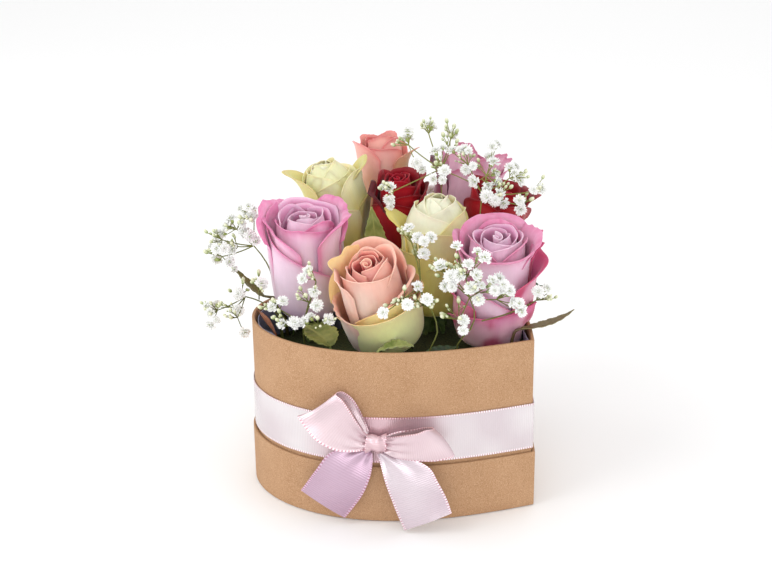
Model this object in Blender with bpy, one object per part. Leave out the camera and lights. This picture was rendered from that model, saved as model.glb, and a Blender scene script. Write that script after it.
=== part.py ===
"""Heart-shaped kraft box filled with roses, on its lid, with a ribbon and a bow.

Frame: metres, +Z up.  The origin is on the underside of the lid, in the middle
of the heart.  +X runs to the heart's point, -X to its notch, and the heart is
the same on both sides of the X axis.  Sizes below are in millimetres.
"""
import math
import random
from dataclasses import dataclass

import bmesh
import bpy
from mathutils import Matrix, Vector

MM = 0.001
GAP = 0.3

# Heart outline of the box wall's outer face, as radii along one half.
LOBE_RADIUS = 32.8
FLANK_RADIUS = 66.4
FLANK_AT = 0.33
TIP_RADIUS = 900.0
HALF_LENGTH = 196.7
HEART_START_X = -61.8
HALF_POINTS = 20
NOTCH_STEPS = 80
RUN_ON = 14
STRAIGHT_SPACING = 60.0
PATH_STEPS = 800

# Board, film and foam.
LID_BOARD = 1.5
LID_CLEARANCE = 0.3
LID_HEIGHT = 30.3
BOX_BOARD = 1.5
BOX_BOTTOM = LID_BOARD + GAP
BOX_TOP = 91.3
FILM = 0.6
FILM_BOTTOM = BOX_BOTTOM + BOX_BOARD + GAP
FILM_TOP = 87.5
FOAM_BOTTOM = FILM_BOTTOM
FOAM_TOP = 70.0
HOLE_DEPTH = 32.0
HOLE_SIDES = 6

# Ribbon.
RIBBON_WIDTH = 25.0
RIBBON_BOTTOM = 32.3
RIBBON_THICK = 0.6
BOW_X = 30.4
KNOT_HEIGHT = 45.0

# Rose pieces.
PETAL_THICK = 0.62
STEM_RADIUS = 2.3
HIP_RADIUS = 5.4
HIP_HEIGHT = 7.0
SEPAL_ROOT = 1.1
SEPAL_THICK = 0.7
# Along a sepal: its reach out, its drop and half its width.
SEPAL_LADDER = ((7.4, 3.6, 2.3), (9.8, 12.5, 0.6))
SEPALS = 5
BELLY_AT = 0.62
INNER_PETALS = 4
CORE_SIDES = 6
OUTER_ROWS = (0.0, 0.3, 0.62, 0.86, 1.0)
INNER_ROWS = (0.0, 0.42, 0.78, 1.0)
# Every petal's columns stand on the same spokes of its bloom, so that layers never cut each other.
SPOKES = 10
INNER_SPAN = 4
EDGE_DROP = 0.15
GOLDEN_TURN = math.radians(137.5)
NEIGHBOUR_GAP = 0.6

# Gypsophila and leaves.
TWIG_RADIUS = 0.55
FLORET_RADIUS = 3.9
BUD_RADIUS = 1.2
HUB_RADIUS = 1.0
# Lengths of a twig's joint below and above its middle, and how far its far ring is drawn in.
JOINT_BELOW = 0.5
JOINT_ABOVE = 0.7
JOINT_TAPER = 0.62
# A floret's stalk below it, its rim and middle above its place, and its three drawn-in rim points.
STALK_BELOW = 2.0
RIM_ABOVE = 0.7
EYE_ABOVE = 1.3
RIM_NOTCH = 0.72
NOTCH_DROP = 0.8
PLACE_TRIES = 40
LEAF_ROWS = 6
LEAF_THICK = 0.7
LEAF_FOLD = 0.28
STALK_RING = ((-0.9, 0.5), (0.0, 0.95), (0.9, 0.5), (0.9, -0.5), (0.0, -0.95), (-0.9, -0.5))
FACING_OUT = Vector((0.592, -0.806, 0.0))

KRAFT = (0.60, 0.39, 0.23, 1.0)
FILM_GREY = (0.035, 0.037, 0.045, 1.0)
FOAM_GREEN = (0.03, 0.07, 0.035, 1.0)
SATIN = (0.86, 0.62, 0.68, 1.0)
STEM_GREEN = (0.10, 0.20, 0.05, 1.0)
SPRAY_WHITE = (0.85, 0.88, 0.80, 1.0)


def clear_scene():
    """Remove whatever the opened file holds."""
    for thing in list(bpy.data.objects):
        bpy.data.objects.remove(thing, do_unlink=True)


def material(name, colour, roughness):
    """A Principled material of one colour."""
    made = bpy.data.materials.get(name)
    if made:
        return made
    made = bpy.data.materials.new(name)
    made.use_nodes = True
    shader = made.node_tree.nodes["Principled BSDF"]
    shader.inputs["Base Color"].default_value = colour
    shader.inputs["Roughness"].default_value = roughness
    shader.inputs["Metallic"].default_value = 0.0
    made.diffuse_color = colour
    return made


def solid(name, points, faces, finish=None, smooth=35.0):
    """A mesh object from points in millimetres, with its faces pointing out."""
    mesh = bpy.data.meshes.new(name)
    mesh.from_pydata([Vector(p) * MM for p in points], [], faces)
    shape = bmesh.new()
    shape.from_mesh(mesh)
    bmesh.ops.recalc_face_normals(shape, faces=shape.faces)
    shape.to_mesh(mesh)
    shape.free()
    thing = bpy.data.objects.new(name, mesh)
    bpy.context.scene.collection.objects.link(thing)
    if smooth:
        mesh.shade_smooth()
        mesh.set_sharp_from_angle(angle=math.radians(smooth))
    if finish:
        mesh.materials.append(finish)
    return thing


def union(name, base, pieces, finish):
    """One body from a base and the pieces that grow from it."""
    group = bpy.data.collections.new(name + "_pieces")
    bpy.context.scene.collection.children.link(group)
    for piece in pieces:
        bpy.context.scene.collection.objects.unlink(piece)
        group.objects.link(piece)
    cut = base.modifiers.new("join", "BOOLEAN")
    cut.operation = "UNION"
    cut.operand_type = "COLLECTION"
    cut.collection = group
    cut.solver = "MANIFOLD"
    evaluated = base.evaluated_get(bpy.context.evaluated_depsgraph_get())
    mesh = bpy.data.meshes.new_from_object(evaluated)
    base.modifiers.clear()
    base.data = mesh
    base.name = name
    mesh.name = name
    mesh.materials.clear()
    mesh.materials.append(finish)
    for piece in pieces:
        bpy.data.objects.remove(piece, do_unlink=True)
    bpy.data.collections.remove(group)
    keep_largest(mesh)
    return base


def keep_largest(mesh):
    """Drop the loose scraps that a union may leave."""
    shape = bmesh.new()
    shape.from_mesh(mesh)
    shape.verts.ensure_lookup_table()
    seen = set()
    islands = []
    for start in shape.verts:
        if start.index in seen:
            continue
        island = [start]
        seen.add(start.index)
        for vert in island:
            for edge in vert.link_edges:
                other = edge.other_vert(vert)
                if other.index not in seen:
                    seen.add(other.index)
                    island.append(other)
        islands.append(island)
    islands.sort(key=len)
    for island in islands[:-1]:
        bmesh.ops.delete(shape, geom=island, context="VERTS")
    shape.to_mesh(mesh)
    shape.free()


# The heart.

def heart_path():
    """Fine points and headings of the near half, run on past the notch and the tip."""
    ds = HALF_LENGTH / PATH_STEPS
    bends = ((0.0, 1 / LOBE_RADIUS), (FLANK_AT, 1 / FLANK_RADIUS), (1.0, 1 / TIP_RADIUS))
    x, y, heading = HEART_START_X, 0.0, -math.pi / 2
    path = [(x, y, heading)]
    for i in range(PATH_STEPS):
        at = (i + 0.5) / PATH_STEPS
        low, high = (bends[0], bends[1]) if at < FLANK_AT else (bends[1], bends[2])
        share = (at - low[0]) / (high[0] - low[0])
        heading += 0.5 * (low[1] + share * (high[1] - low[1])) * ds
        x += math.cos(heading) * ds
        y += math.sin(heading) * ds
        heading += 0.5 * (low[1] + share * (high[1] - low[1])) * ds
        path.append((x, y, heading))
    drop = path[-1][1]
    path = [(px, py - drop, turned) for px, py, turned in path]
    centre_x, centre_y = HEART_START_X + LOBE_RADIUS, path[0][1]
    sweep = math.asin(-centre_y / LOBE_RADIUS)
    back = []
    for i in range(1, NOTCH_STEPS + 1):
        turn = sweep * i / NOTCH_STEPS
        back.append((centre_x - LOBE_RADIUS * math.cos(turn), centre_y + LOBE_RADIUS * math.sin(turn),
                     -math.pi / 2 - turn))
    notch_x, notch_y, notch_heading = back[-1]
    for i in range(1, RUN_ON + 1):
        x = notch_x - i * math.cos(notch_heading)
        y = notch_y - i * math.sin(notch_heading)
        back.append((x, y, notch_heading))
    tip_x, tip_y, tip_heading = path[-1]
    on = []
    for i in range(1, RUN_ON + 1):
        on.append((tip_x + i * math.cos(tip_heading), tip_y + i * math.sin(tip_heading), tip_heading))
    return back[::-1] + path + on


def half_outline(offset):
    """The near half of the moved outline, fine, from the notch to the tip on the X axis."""
    moved = [(x + offset * math.sin(h), y - offset * math.cos(h), h) for x, y, h in heart_path()]
    middle = len(moved) // 2
    first = middle
    while moved[first][1] < 0.0:
        first -= 1
    last = middle
    while moved[last][1] < 0.0:
        last += 1
    kept = [list(p) for p in moved[first:last + 1]]
    for end, beside in ((0, 1), (-1, -2)):
        share = kept[beside][1] / (kept[beside][1] - kept[end][1])
        kept[end][0] = kept[beside][0] + share * (kept[end][0] - kept[beside][0])
        kept[end][1] = 0.0
    return kept


def heart_outline(offset, count=HALF_POINTS):
    """The closed outline, moved outwards by the offset, its points closer where it bends more."""
    fine = half_outline(offset)
    reach = [0.0]
    for a, b in zip(fine, fine[1:]):
        reach.append(reach[-1] + abs(b[2] - a[2]) + math.dist(a[:2], b[:2]) / STRAIGHT_SPACING)
    near = []
    at = 0
    for i in range(count):
        wanted = reach[-1] * i / (count - 1)
        while at < len(reach) - 1 and reach[at] < wanted - 1e-9:
            at += 1
        near.append(tuple(fine[at][:2]))
    far = [(x, -y) for x, y in reversed(near[1:-1])]
    return near + far


def convex_outline(points):
    """The outline that a taut band takes: it bridges the notch."""
    ordered = sorted(set(points))

    def chain(items):
        kept = []
        for p in items:
            while len(kept) > 1:
                a, b = kept[-2], kept[-1]
                if (b[0] - a[0]) * (p[1] - a[1]) - (b[1] - a[1]) * (p[0] - a[0]) > 1e-6:
                    break
                kept.pop()
            kept.append(p)
        return kept[:-1]

    return chain(ordered) + chain(reversed(ordered))


def plate(name, outline, bottom, top, finish):
    """A flat board of the outline's shape."""
    count = len(outline)
    points = [(x, y, bottom) for x, y in outline] + [(x, y, top) for x, y in outline]
    faces = [list(range(count))[::-1], list(range(count, 2 * count))]
    for i in range(count):
        j = (i + 1) % count
        faces.append([i, j, count + j, count + i])
    return solid(name, points, faces, finish)


def wall(name, outer, inner, bottom, top, finish):
    """An upright wall between two outlines with the same number of points."""
    count = len(outer)
    points = []
    for outline, height in ((outer, bottom), (outer, top), (inner, top), (inner, bottom)):
        points += [(x, y, height) for x, y in outline]
    faces = []
    for ring in range(4):
        here, there = ring * count, ((ring + 1) % 4) * count
        for i in range(count):
            j = (i + 1) % count
            faces.append([here + i, here + j, there + j, there + i])
    return solid(name, points, faces, finish)


def build_box():
    """Lid used as a tray, box wall and floor, film and foam block."""
    kraft = material("kraft_board", KRAFT, 0.85)
    outline = heart_outline(0.0)
    lid_inner = heart_outline(LID_CLEARANCE)
    lid_outer = heart_outline(LID_CLEARANCE + LID_BOARD)
    plate("lid_panel", heart_outline(LID_CLEARANCE - GAP), 0.0, LID_BOARD, kraft)
    wall("lid_rim", lid_outer, lid_inner, 0.0, LID_HEIGHT, kraft)
    wall("box_wall", outline, heart_outline(-BOX_BOARD), BOX_BOTTOM, BOX_TOP, kraft)
    floor_edge = heart_outline(-BOX_BOARD - GAP)
    plate("box_floor", floor_edge, BOX_BOTTOM, BOX_BOTTOM + BOX_BOARD, kraft)
    film_edge = -BOX_BOARD - GAP
    film = material("dark_film", FILM_GREY, 0.35)
    wall("film_liner", heart_outline(film_edge), heart_outline(film_edge - FILM), FILM_BOTTOM, FILM_TOP, film)
    foam = material("wet_foam", FOAM_GREEN, 0.9)
    return plate("foam_block", heart_outline(film_edge - FILM - GAP), FOAM_BOTTOM, FOAM_TOP, foam)


def pierce(foam, holes):
    """Plain upright holes for the stems: (x, y, radius)."""
    points, faces = [], []
    for x, y, radius in holes:
        start = len(points)
        for height in (FOAM_TOP - HOLE_DEPTH, FOAM_TOP + 5.0):
            for i in range(HOLE_SIDES):
                turn = 2 * math.pi * i / HOLE_SIDES
                points.append((x + radius * math.cos(turn), y + radius * math.sin(turn), height))
        faces.append([start + i for i in reversed(range(HOLE_SIDES))])
        faces.append([start + HOLE_SIDES + i for i in range(HOLE_SIDES)])
        for i in range(HOLE_SIDES):
            j = (i + 1) % HOLE_SIDES
            faces.append([start + i, start + j, start + HOLE_SIDES + j, start + HOLE_SIDES + i])
    cutter = solid("stem_holes", points, faces, smooth=0)
    cut = foam.modifiers.new("holes", "BOOLEAN")
    cut.operation = "DIFFERENCE"
    cut.solver = "EXACT"
    cut.object = cutter
    evaluated = foam.evaluated_get(bpy.context.evaluated_depsgraph_get())
    mesh = bpy.data.meshes.new_from_object(evaluated)
    foam.modifiers.clear()
    foam.data = mesh
    bpy.data.objects.remove(cutter, do_unlink=True)


# Ribbon and bow.

def bow_frame():
    """Knot place on the band and the directions right, out and up."""
    fine = half_outline(0.0)
    x, y, heading = min(fine, key=lambda p: abs(p[0] - BOW_X) - p[2])
    out = Vector((math.sin(heading), -math.cos(heading), 0.0))
    right = Vector((math.cos(heading), math.sin(heading), 0.0))
    up = Vector((0.0, 0.0, 1.0))
    knot = Vector((x, y, KNOT_HEIGHT)) + out * (GAP + RIBBON_THICK)
    return knot, right, out, up


def strip(name, stations, thick, finish):
    """A ribbon strip.  Each station is its middle and half its width, as vectors."""
    count = len(stations)
    points, faces = [], []
    for i, (middle, half) in enumerate(stations):
        before = stations[max(i - 1, 0)][0]
        after = stations[min(i + 1, count - 1)][0]
        across = half.normalized()
        normal = (after - before).cross(across).normalized() * (thick / 2)
        points += [middle - half - normal, middle + half - normal]
        points += [middle + half + normal, middle - half + normal]
    for i in range(count - 1):
        for k in range(4):
            m = (k + 1) % 4
            faces.append([4 * i + k, 4 * i + m, 4 * i + 4 + m, 4 * i + 4 + k])
    faces += [[3, 2, 1, 0], [4 * count - 4, 4 * count - 3, 4 * count - 2, 4 * count - 1]]
    triangles = []
    for face in faces:
        triangles += [[face[0], face[1], face[2]], [face[0], face[2], face[3]]]
    return solid(name, points, triangles, finish)


def bow_stations(plan):
    """Stations from rows of (right, out, up, half width right, out, up) at the knot."""
    knot, right, out, up = bow_frame()
    rows = []
    for a, b, c, ha, hb, hc in plan:
        rows.append((knot + right * a + out * b + up * c, right * ha + out * hb + up * hc))
    return rows


# Each loop leaves the knot in front, turns over at its outer fold and comes back behind.
LEFT_LOOP = (
    (-5.4, 4.9, 2.75, 3.0, 0.0, 3.2),
    (-13.0, 9.5, 8.5, 5.0, 0.0, 7.2),
    (-20.0, 11.5, 13.0, 7.2, 0.0, 9.2),
    (-26.0, 10.0, 17.5, 8.6, 0.0, 8.4),
    (-29.4, 6.2, 20.5, 9.6, 0.0, 6.4),
    (-26.4, 2.6, 18.0, 8.6, 0.0, 8.4),
    (-20.0, 1.3, 13.2, 7.2, 0.0, 9.2),
    (-13.0, 1.4, 8.4, 5.0, 0.0, 7.2),
    (-5.4, 2.2, 2.75, 3.0, 0.0, 3.2),
)
RIGHT_LOOP = (
    (6.0, 4.9, 0.6, -0.4, 0.0, 4.4),
    (13.5, 9.0, 2.0, -1.6, 0.0, 8.4),
    (21.0, 10.6, 3.2, -3.2, 0.0, 9.6),
    (29.0, 9.4, 3.8, -4.8, 0.0, 9.4),
    (35.0, 6.0, 3.8, -5.6, 0.0, 8.4),
    (30.0, 2.8, 3.8, -4.8, 0.0, 9.2),
    (21.0, 1.4, 3.2, -3.2, 0.0, 9.6),
    (13.5, 1.4, 2.0, -1.6, 0.0, 8.4),
    (6.0, 2.2, 0.6, -0.4, 0.0, 4.4),
)
LEFT_TAIL = (
    (-2.6, 2.4, -5.9, 3.4, 0.0, -0.6),
    (-8.5, 5.6, -13.0, 7.4, 0.0, -4.0),
    (-15.5, 6.2, -20.5, 10.2, 0.6, -5.4),
    (-22.0, 5.8, -27.5, 11.2, 1.0, -6.0),
    (-28.0, 5.2, -33.0, 11.4, 1.2, -6.4),
)
RIGHT_TAIL = (
    (2.6, 4.9, -5.9, 3.6, 0.4, 0.2),
    (8.4, 8.0, -14.0, 8.6, 0.6, 2.0),
    (14.0, 10.4, -23.0, 11.4, 0.6, 3.2),
    (20.0, 12.0, -31.5, 12.2, 0.2, 3.0),
    (25.5, 13.2, -39.5, 12.2, 0.0, 3.4),
)


def build_ribbon():
    """Taut band, knot, two loops and two tails."""
    satin = material("satin_ribbon", SATIN, 0.4)
    inner = convex_outline(heart_outline(GAP))
    outer = convex_outline(heart_outline(GAP + RIBBON_THICK))
    top = RIBBON_BOTTOM + RIBBON_WIDTH
    wall("ribbon_band", outer, inner, RIBBON_BOTTOM, top, satin)
    knot, right, out, up = bow_frame()
    rows = []
    for share, wide, high in ((0.3, 4.8, 4.6), (1.6, 5.6, 5.4), (4.6, 5.8, 5.6), (6.6, 4.6, 4.4)):
        ring = []
        for i in range(8):
            turn = 2 * math.pi * (i + 0.5) / 8
            ring.append(knot + right * wide * math.cos(turn) + up * high * math.sin(turn) + out * share)
        rows.append(ring)
    points = [p for ring in rows for p in ring]
    faces = [list(range(8)), list(range(24, 32))]
    for r in range(3):
        for i in range(8):
            j = (i + 1) % 8
            faces.append([8 * r + i, 8 * r + j, 8 * r + 8 + j, 8 * r + 8 + i])
    solid("bow_knot", points, faces, satin)
    strip("bow_loop_left", bow_stations(LEFT_LOOP), RIBBON_THICK, satin)
    strip("bow_loop_right", bow_stations(RIGHT_LOOP), RIBBON_THICK, satin)
    strip("bow_tail_left", bow_stations(LEFT_TAIL), RIBBON_THICK, satin)
    strip("bow_tail_right", bow_stations(RIGHT_TAIL), RIBBON_THICK, satin)


# Roses.

@dataclass(frozen=True)
class Guard:
    """An outer petal set by hand: its first spoke and how many it spans, height and reach as shares."""
    spoke: int
    span: int
    height: float
    reach: float


@dataclass(frozen=True)
class Rose:
    """A bloom from the middle of its foot to the middle of its mouth."""
    name: str
    mouth: tuple
    foot: tuple
    hole: tuple
    radius: float
    turn: float
    colour: tuple
    guards: tuple

    @property
    def axis(self):
        return (Vector(self.mouth) - Vector(self.foot)).normalized()

    @property
    def height(self):
        return (Vector(self.mouth) - Vector(self.foot)).length

    @property
    def belly(self):
        return Vector(self.foot).lerp(Vector(self.mouth), BELLY_AT)

    def frame(self):
        """Two directions across the axis, the first one towards +X."""
        across = Vector((1.0, 0.0, 0.0)) - self.axis * self.axis.x
        across.normalize()
        return across, self.axis.cross(across)


LILAC = (0.70, 0.36, 0.56, 1.0)
PEACH = (0.88, 0.55, 0.42, 1.0)
IVORY = (0.80, 0.80, 0.52, 1.0)
CREAM = (0.82, 0.80, 0.45, 1.0)
CORAL = (0.85, 0.40, 0.36, 1.0)
RED = (0.35, 0.005, 0.02, 1.0)
MAUVE = (0.58, 0.30, 0.42, 1.0)

ROSES = (
    Rose("rose_lilac_left", (-37, -28, 143), (-41, -20, 84), (-41, -20), 25.0, 20, LILAC,
         (Guard(4, 4, 1.04, 1.02), Guard(8, 4, 1.00, 1.06), Guard(1, 4, 1.04, 1.00), Guard(6, 4, 0.90, 0.96))),
    Rose("rose_peach_front", (11, -39, 129), (8, -17, 80), (6, -16), 25.0, 75, PEACH,
         (Guard(9, 4, 1.02, 0.92), Guard(2, 4, 1.04, 0.98), Guard(6, 4, 0.82, 1.0), Guard(4, 4, 0.62, 1.06))),
    Rose("rose_lilac_right", (59, 6, 140), (48, 18, 80), (45, 15), 24.5, 150, LILAC,
         (Guard(6, 4, 1.03, 1.00), Guard(4, 4, 0.96, 1.02), Guard(0, 4, 0.98, 1.00), Guard(2, 4, 0.74, 1.04))),
    Rose("rose_ivory_left", (-57, 12, 158), (-46, 24, 110), (-42, 22), 22.5, 203, IVORY,
         (Guard(5, 4, 0.96, 1.06), Guard(8, 4, 0.88, 1.10), Guard(3, 4, 1.02, 1.14), Guard(1, 4, 0.80, 0.98))),
    Rose("rose_cream_centre", (15, 19, 147), (7, 24, 82), (6, 25), 20.5, 310, CREAM,
         (Guard(3, 4, 1.00, 0.95), Guard(0, 4, 0.96, 0.92), Guard(6, 4, 0.92, 1.0), Guard(8, 4, 0.74, 1.0))),
    Rose("rose_coral_back", (-50, 57, 164), (-44, 52, 116), (-40, 47), 18.0, 40, CORAL,
         (Guard(1, 4, 1.02, 0.98), Guard(3, 4, 1.00, 1.12), Guard(8, 4, 0.92, 1.05), Guard(6, 4, 0.88, 0.96))),
    Rose("rose_red_centre", (-20, 30, 152), (-19, 34, 98), (-19, 34), 18.5, 100, RED,
         (Guard(9, 4, 1.03, 0.98), Guard(2, 4, 1.00, 1.0), Guard(6, 4, 1.0, 1.0), Guard(4, 4, 0.90, 0.98))),
    Rose("rose_red_right", (27, 61, 144), (23, 49, 95), (22, 46), 20.5, 250, RED,
         (Guard(4, 4, 1.02, 1.0), Guard(2, 4, 1.0, 1.06), Guard(8, 4, 0.98, 1.0), Guard(0, 4, 0.92, 0.98))),
    Rose("rose_mauve_back", (-7, 85, 151), (0, 58, 98), (-1, 55), 22.5, 176, MAUVE,
         (Guard(6, 4, 1.02, 1.05), Guard(4, 4, 1.04, 1.08), Guard(9, 4, 1.0, 1.08), Guard(1, 4, 1.04, 1.02))),
)


def petal_profile(layer, height, reach):
    """Shares (radius, height) along a petal, from its foot to its tip."""
    return (
        (0.05 + 0.26 * layer, 0.03),
        (0.30 + 0.40 * layer, 0.15 * height),
        (0.36 + 0.55 * layer, 0.46 * height),
        (0.27 + 0.66 * layer, 0.80 * height),
        (0.16 + (reach - 0.16) * layer, height),
    )


def along(profile, share):
    """A smooth curve through the profile's points, and its direction."""
    spans = len(profile) - 1
    span = min(int(share * spans), spans - 1)
    t = share * spans - span
    known = [profile[max(span - 1, 0)], profile[span], profile[span + 1], profile[min(span + 2, spans)]]
    place, heading = [], []
    for k in (0, 1):
        a, b, c, d = (q[k] for q in known)
        place.append(0.5 * (2 * b + (c - a) * t + (2 * a - 5 * b + 4 * c - d) * t * t
                            + (3 * b - a - 3 * c + d) * t ** 3))
        heading.append(0.5 * ((c - a) + 2 * (2 * a - 5 * b + 4 * c - d) * t
                              + 3 * (3 * b - a - 3 * c + d) * t * t))
    return place, heading


def outer_share(height_share):
    """How far the widest petals reach at a height, as a share of the bloom's radius."""
    ladder = ((0.0, 0.33), (0.15, 0.72), (0.46, 0.92), (0.80, 0.96), (0.92, 1.04), (1.2, 1.12))
    for (low, a), (high, b) in zip(ladder, ladder[1:]):
        if height_share <= high:
            return a + (b - a) * (height_share - low) / (high - low)
    return ladder[-1][1]


def neighbour_planes(rose):
    """Planes that keep a bloom clear of the blooms beside it: normal and distance."""
    planes = []
    for other in ROSES:
        if other.name == rose.name:
            continue
        apart = other.belly - rose.belly
        distance = apart.length
        if distance > 2.4 * (rose.radius + other.radius):
            continue
        share = (distance ** 2 + rose.radius ** 2 - other.radius ** 2) / (2 * distance)
        normal = apart / distance
        planes.append((normal, normal.dot(rose.belly) + share - NEIGHBOUR_GAP / 2))
    return planes


def bloom_point(rose, planes, radius, turn, rise):
    """A point of a bloom, pressed in where a neighbour stands."""
    across, beside = rose.frame()
    out = across * math.cos(turn) + beside * math.sin(turn)
    middle = Vector(rose.foot) + rose.axis * rise
    widest = rose.radius * outer_share(rise / rose.height)
    squeeze = 1.0
    for normal, limit in planes:
        lean = normal.dot(out)
        if lean > 0.02:
            room = (limit - normal.dot(middle)) / lean
            squeeze = min(squeeze, max(room / widest, 0.25))
    return middle + out * radius * squeeze


def petal(rose, planes, rows, layer, spoke, span, height, reach):
    """One curved blade of a bloom, a grid of columns and rows with two faces."""
    profile = petal_profile(layer, height, reach)
    front, back = [], []
    for share in rows:
        for column in range(span + 1):
            reached = share * (1.0 - EDGE_DROP * abs(2.0 * column / span - 1.0) ** 2.5)
            (radius, rise), (dr, dz) = along(profile, reached)
            turn = math.radians(rose.turn) + 2 * math.pi * (spoke + column) / SPOKES
            length = math.hypot(dr * rose.radius, dz * rose.height)
            sink_r = PETAL_THICK * dz * rose.height / length
            sink_z = -PETAL_THICK * dr * rose.radius / length
            r, z = radius * rose.radius, rise * rose.height
            front.append(bloom_point(rose, planes, r, turn, z))
            back.append(bloom_point(rose, planes, r - sink_r, turn, z - sink_z))
    return blade("petal", front, back, len(rows), span + 1)


def blade(name, front, back, rows, columns):
    """A closed blade between two grids, split into triangles alike on both faces."""
    count = rows * columns
    faces = []
    for r in range(rows - 1):
        for c in range(columns - 1):
            a, b = r * columns + c, r * columns + c + 1
            d, e = a + columns, b + columns
            faces += [[a, b, e], [a, e, d]]
            faces += [[count + a, count + e, count + b], [count + a, count + d, count + e]]
    edge = [c for c in range(columns)]
    edge += [r * columns + columns - 1 for r in range(1, rows)]
    edge += [(rows - 1) * columns + c for c in reversed(range(columns - 1))]
    edge += [r * columns for r in reversed(range(1, rows - 1))]
    for i, a in enumerate(edge):
        b = edge[(i + 1) % len(edge)]
        faces += [[b, a, count + a], [b, count + a, count + b]]
    return solid(name, list(front) + list(back), faces, smooth=0)


def core(rose, planes):
    """The tight middle of a bloom, with the foot that every petal grows from."""
    ladder = ((0.30, 0.0), (0.34, 0.07), (0.22, 0.16), (0.26, 0.45), (0.17, 0.76), (0.05, 0.90))
    points = []
    for radius, rise in ladder:
        for i in range(CORE_SIDES):
            turn = 2 * math.pi * i / CORE_SIDES
            points.append(bloom_point(rose, planes, radius * rose.radius, turn, rise * rose.height))
    faces = [[i for i in reversed(range(CORE_SIDES))]]
    top = len(points) - CORE_SIDES
    faces.append([top + i for i in range(CORE_SIDES)])
    for r in range(len(ladder) - 1):
        for i in range(CORE_SIDES):
            j = (i + 1) % CORE_SIDES
            a = r * CORE_SIDES
            faces.append([a + i, a + j, a + CORE_SIDES + j, a + CORE_SIDES + i])
    return solid("core", points, faces, smooth=0)


def build_rose(rose):
    """Core, inner petals by rule and outer petals by hand, in one body."""
    planes = neighbour_planes(rose)
    body = core(rose, planes)
    total = INNER_PETALS + len(rose.guards)
    chance = random.Random(rose.name)
    petals = []
    for k in range(INNER_PETALS):
        layer = k / (total - 1)
        spoke = round(k * GOLDEN_TURN * SPOKES / (2 * math.pi))
        height = 1.0 - 0.03 * k / INNER_PETALS + chance.uniform(-0.015, 0.015)
        petals.append(petal(rose, planes, INNER_ROWS, layer, spoke, INNER_SPAN, height, 0.80))
    for k, guard in enumerate(rose.guards):
        layer = (INNER_PETALS + k) / (total - 1)
        petals.append(petal(rose, planes, OUTER_ROWS, layer, guard.spoke, guard.span, guard.height,
                            guard.reach))
    union(rose.name, body, petals, material(rose.name, rose.colour, 0.55))


def build_rose_stem(rose):
    """Stem from its foam hole, the hip under the bloom and sepals drawn out of the hip's sides."""
    foot, axis = Vector(rose.foot), rose.axis
    across, beside = rose.frame()
    top = foot - axis * GAP
    hip = top - axis * HIP_HEIGHT
    bend = top - axis * 14.0
    low = Vector((rose.hole[0], rose.hole[1], FOAM_TOP - HOLE_DEPTH + GAP))
    mid = Vector((rose.hole[0], rose.hole[1], FOAM_TOP + 0.5))
    path = [low, mid]
    if bend.z > mid.z + 6.0:
        path.append(mid.lerp(bend, 0.6) + Vector((0, 0, 2.0)))
    path += [hip, top - axis * SEPAL_ROOT, top]
    radii = [STEM_RADIUS] * (len(path) - 2) + [HIP_RADIUS] * 2
    points, faces = [], []
    for i, here in enumerate(path):
        flat = i < 2
        u = Vector((1, 0, 0)) if flat else across
        v = Vector((0, 1, 0)) if flat else beside
        for k in range(SEPALS):
            turn = math.radians(rose.turn) + 2 * math.pi * k / SEPALS
            points.append(here + (u * math.cos(turn) + v * math.sin(turn)) * radii[i])
    last = (len(path) - 1) * SEPALS
    faces += [[k for k in reversed(range(SEPALS))], [last + k for k in range(SEPALS)]]
    for r in range(len(path) - 2):
        for k in range(SEPALS):
            m = (k + 1) % SEPALS
            a, b, c, d = r * SEPALS + k, r * SEPALS + m, (r + 1) * SEPALS + m, (r + 1) * SEPALS + k
            faces += [[a, b, c], [a, c, d]]
    for k in range(SEPALS):
        m = (k + 1) % SEPALS
        turn = math.radians(rose.turn) + 2 * math.pi * (k + 0.5) / SEPALS
        out = across * math.cos(turn) + beside * math.sin(turn)
        side = axis.cross(out)
        edge = [last - SEPALS + k, last - SEPALS + m, last + m, last + k]
        for reach, drop, half in SEPAL_LADDER:
            middle = top + out * reach - axis * drop
            middle.z = max(middle.z, FOAM_TOP + 1.5)
            thick = (out * 0.35 + axis * 0.65).normalized() * SEPAL_THICK
            start = len(points)
            points += [middle - side * half - thick, middle + side * half - thick, middle + side * half,
                       middle - side * half]
            for n in range(4):
                w = (n + 1) % 4
                faces += [[edge[n], edge[w], start + w], [edge[n], start + w, start + n]]
            edge = [start, start + 1, start + 2, start + 3]
        faces.append(edge)
    solid(rose.name + "_stem", points, faces, material("rose_stem", STEM_GREEN, 0.6))


# Gypsophila.

@dataclass(frozen=True)
class Head:
    """A knot of florets: its middle, how far it spreads, and what it carries."""
    place: tuple
    spread: float
    florets: int
    buds: int


@dataclass(frozen=True)
class Spray:
    """A branched stem from a hole in the foam, along a route, with its heads."""
    name: str
    hole: tuple
    route: tuple
    heads: tuple


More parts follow.
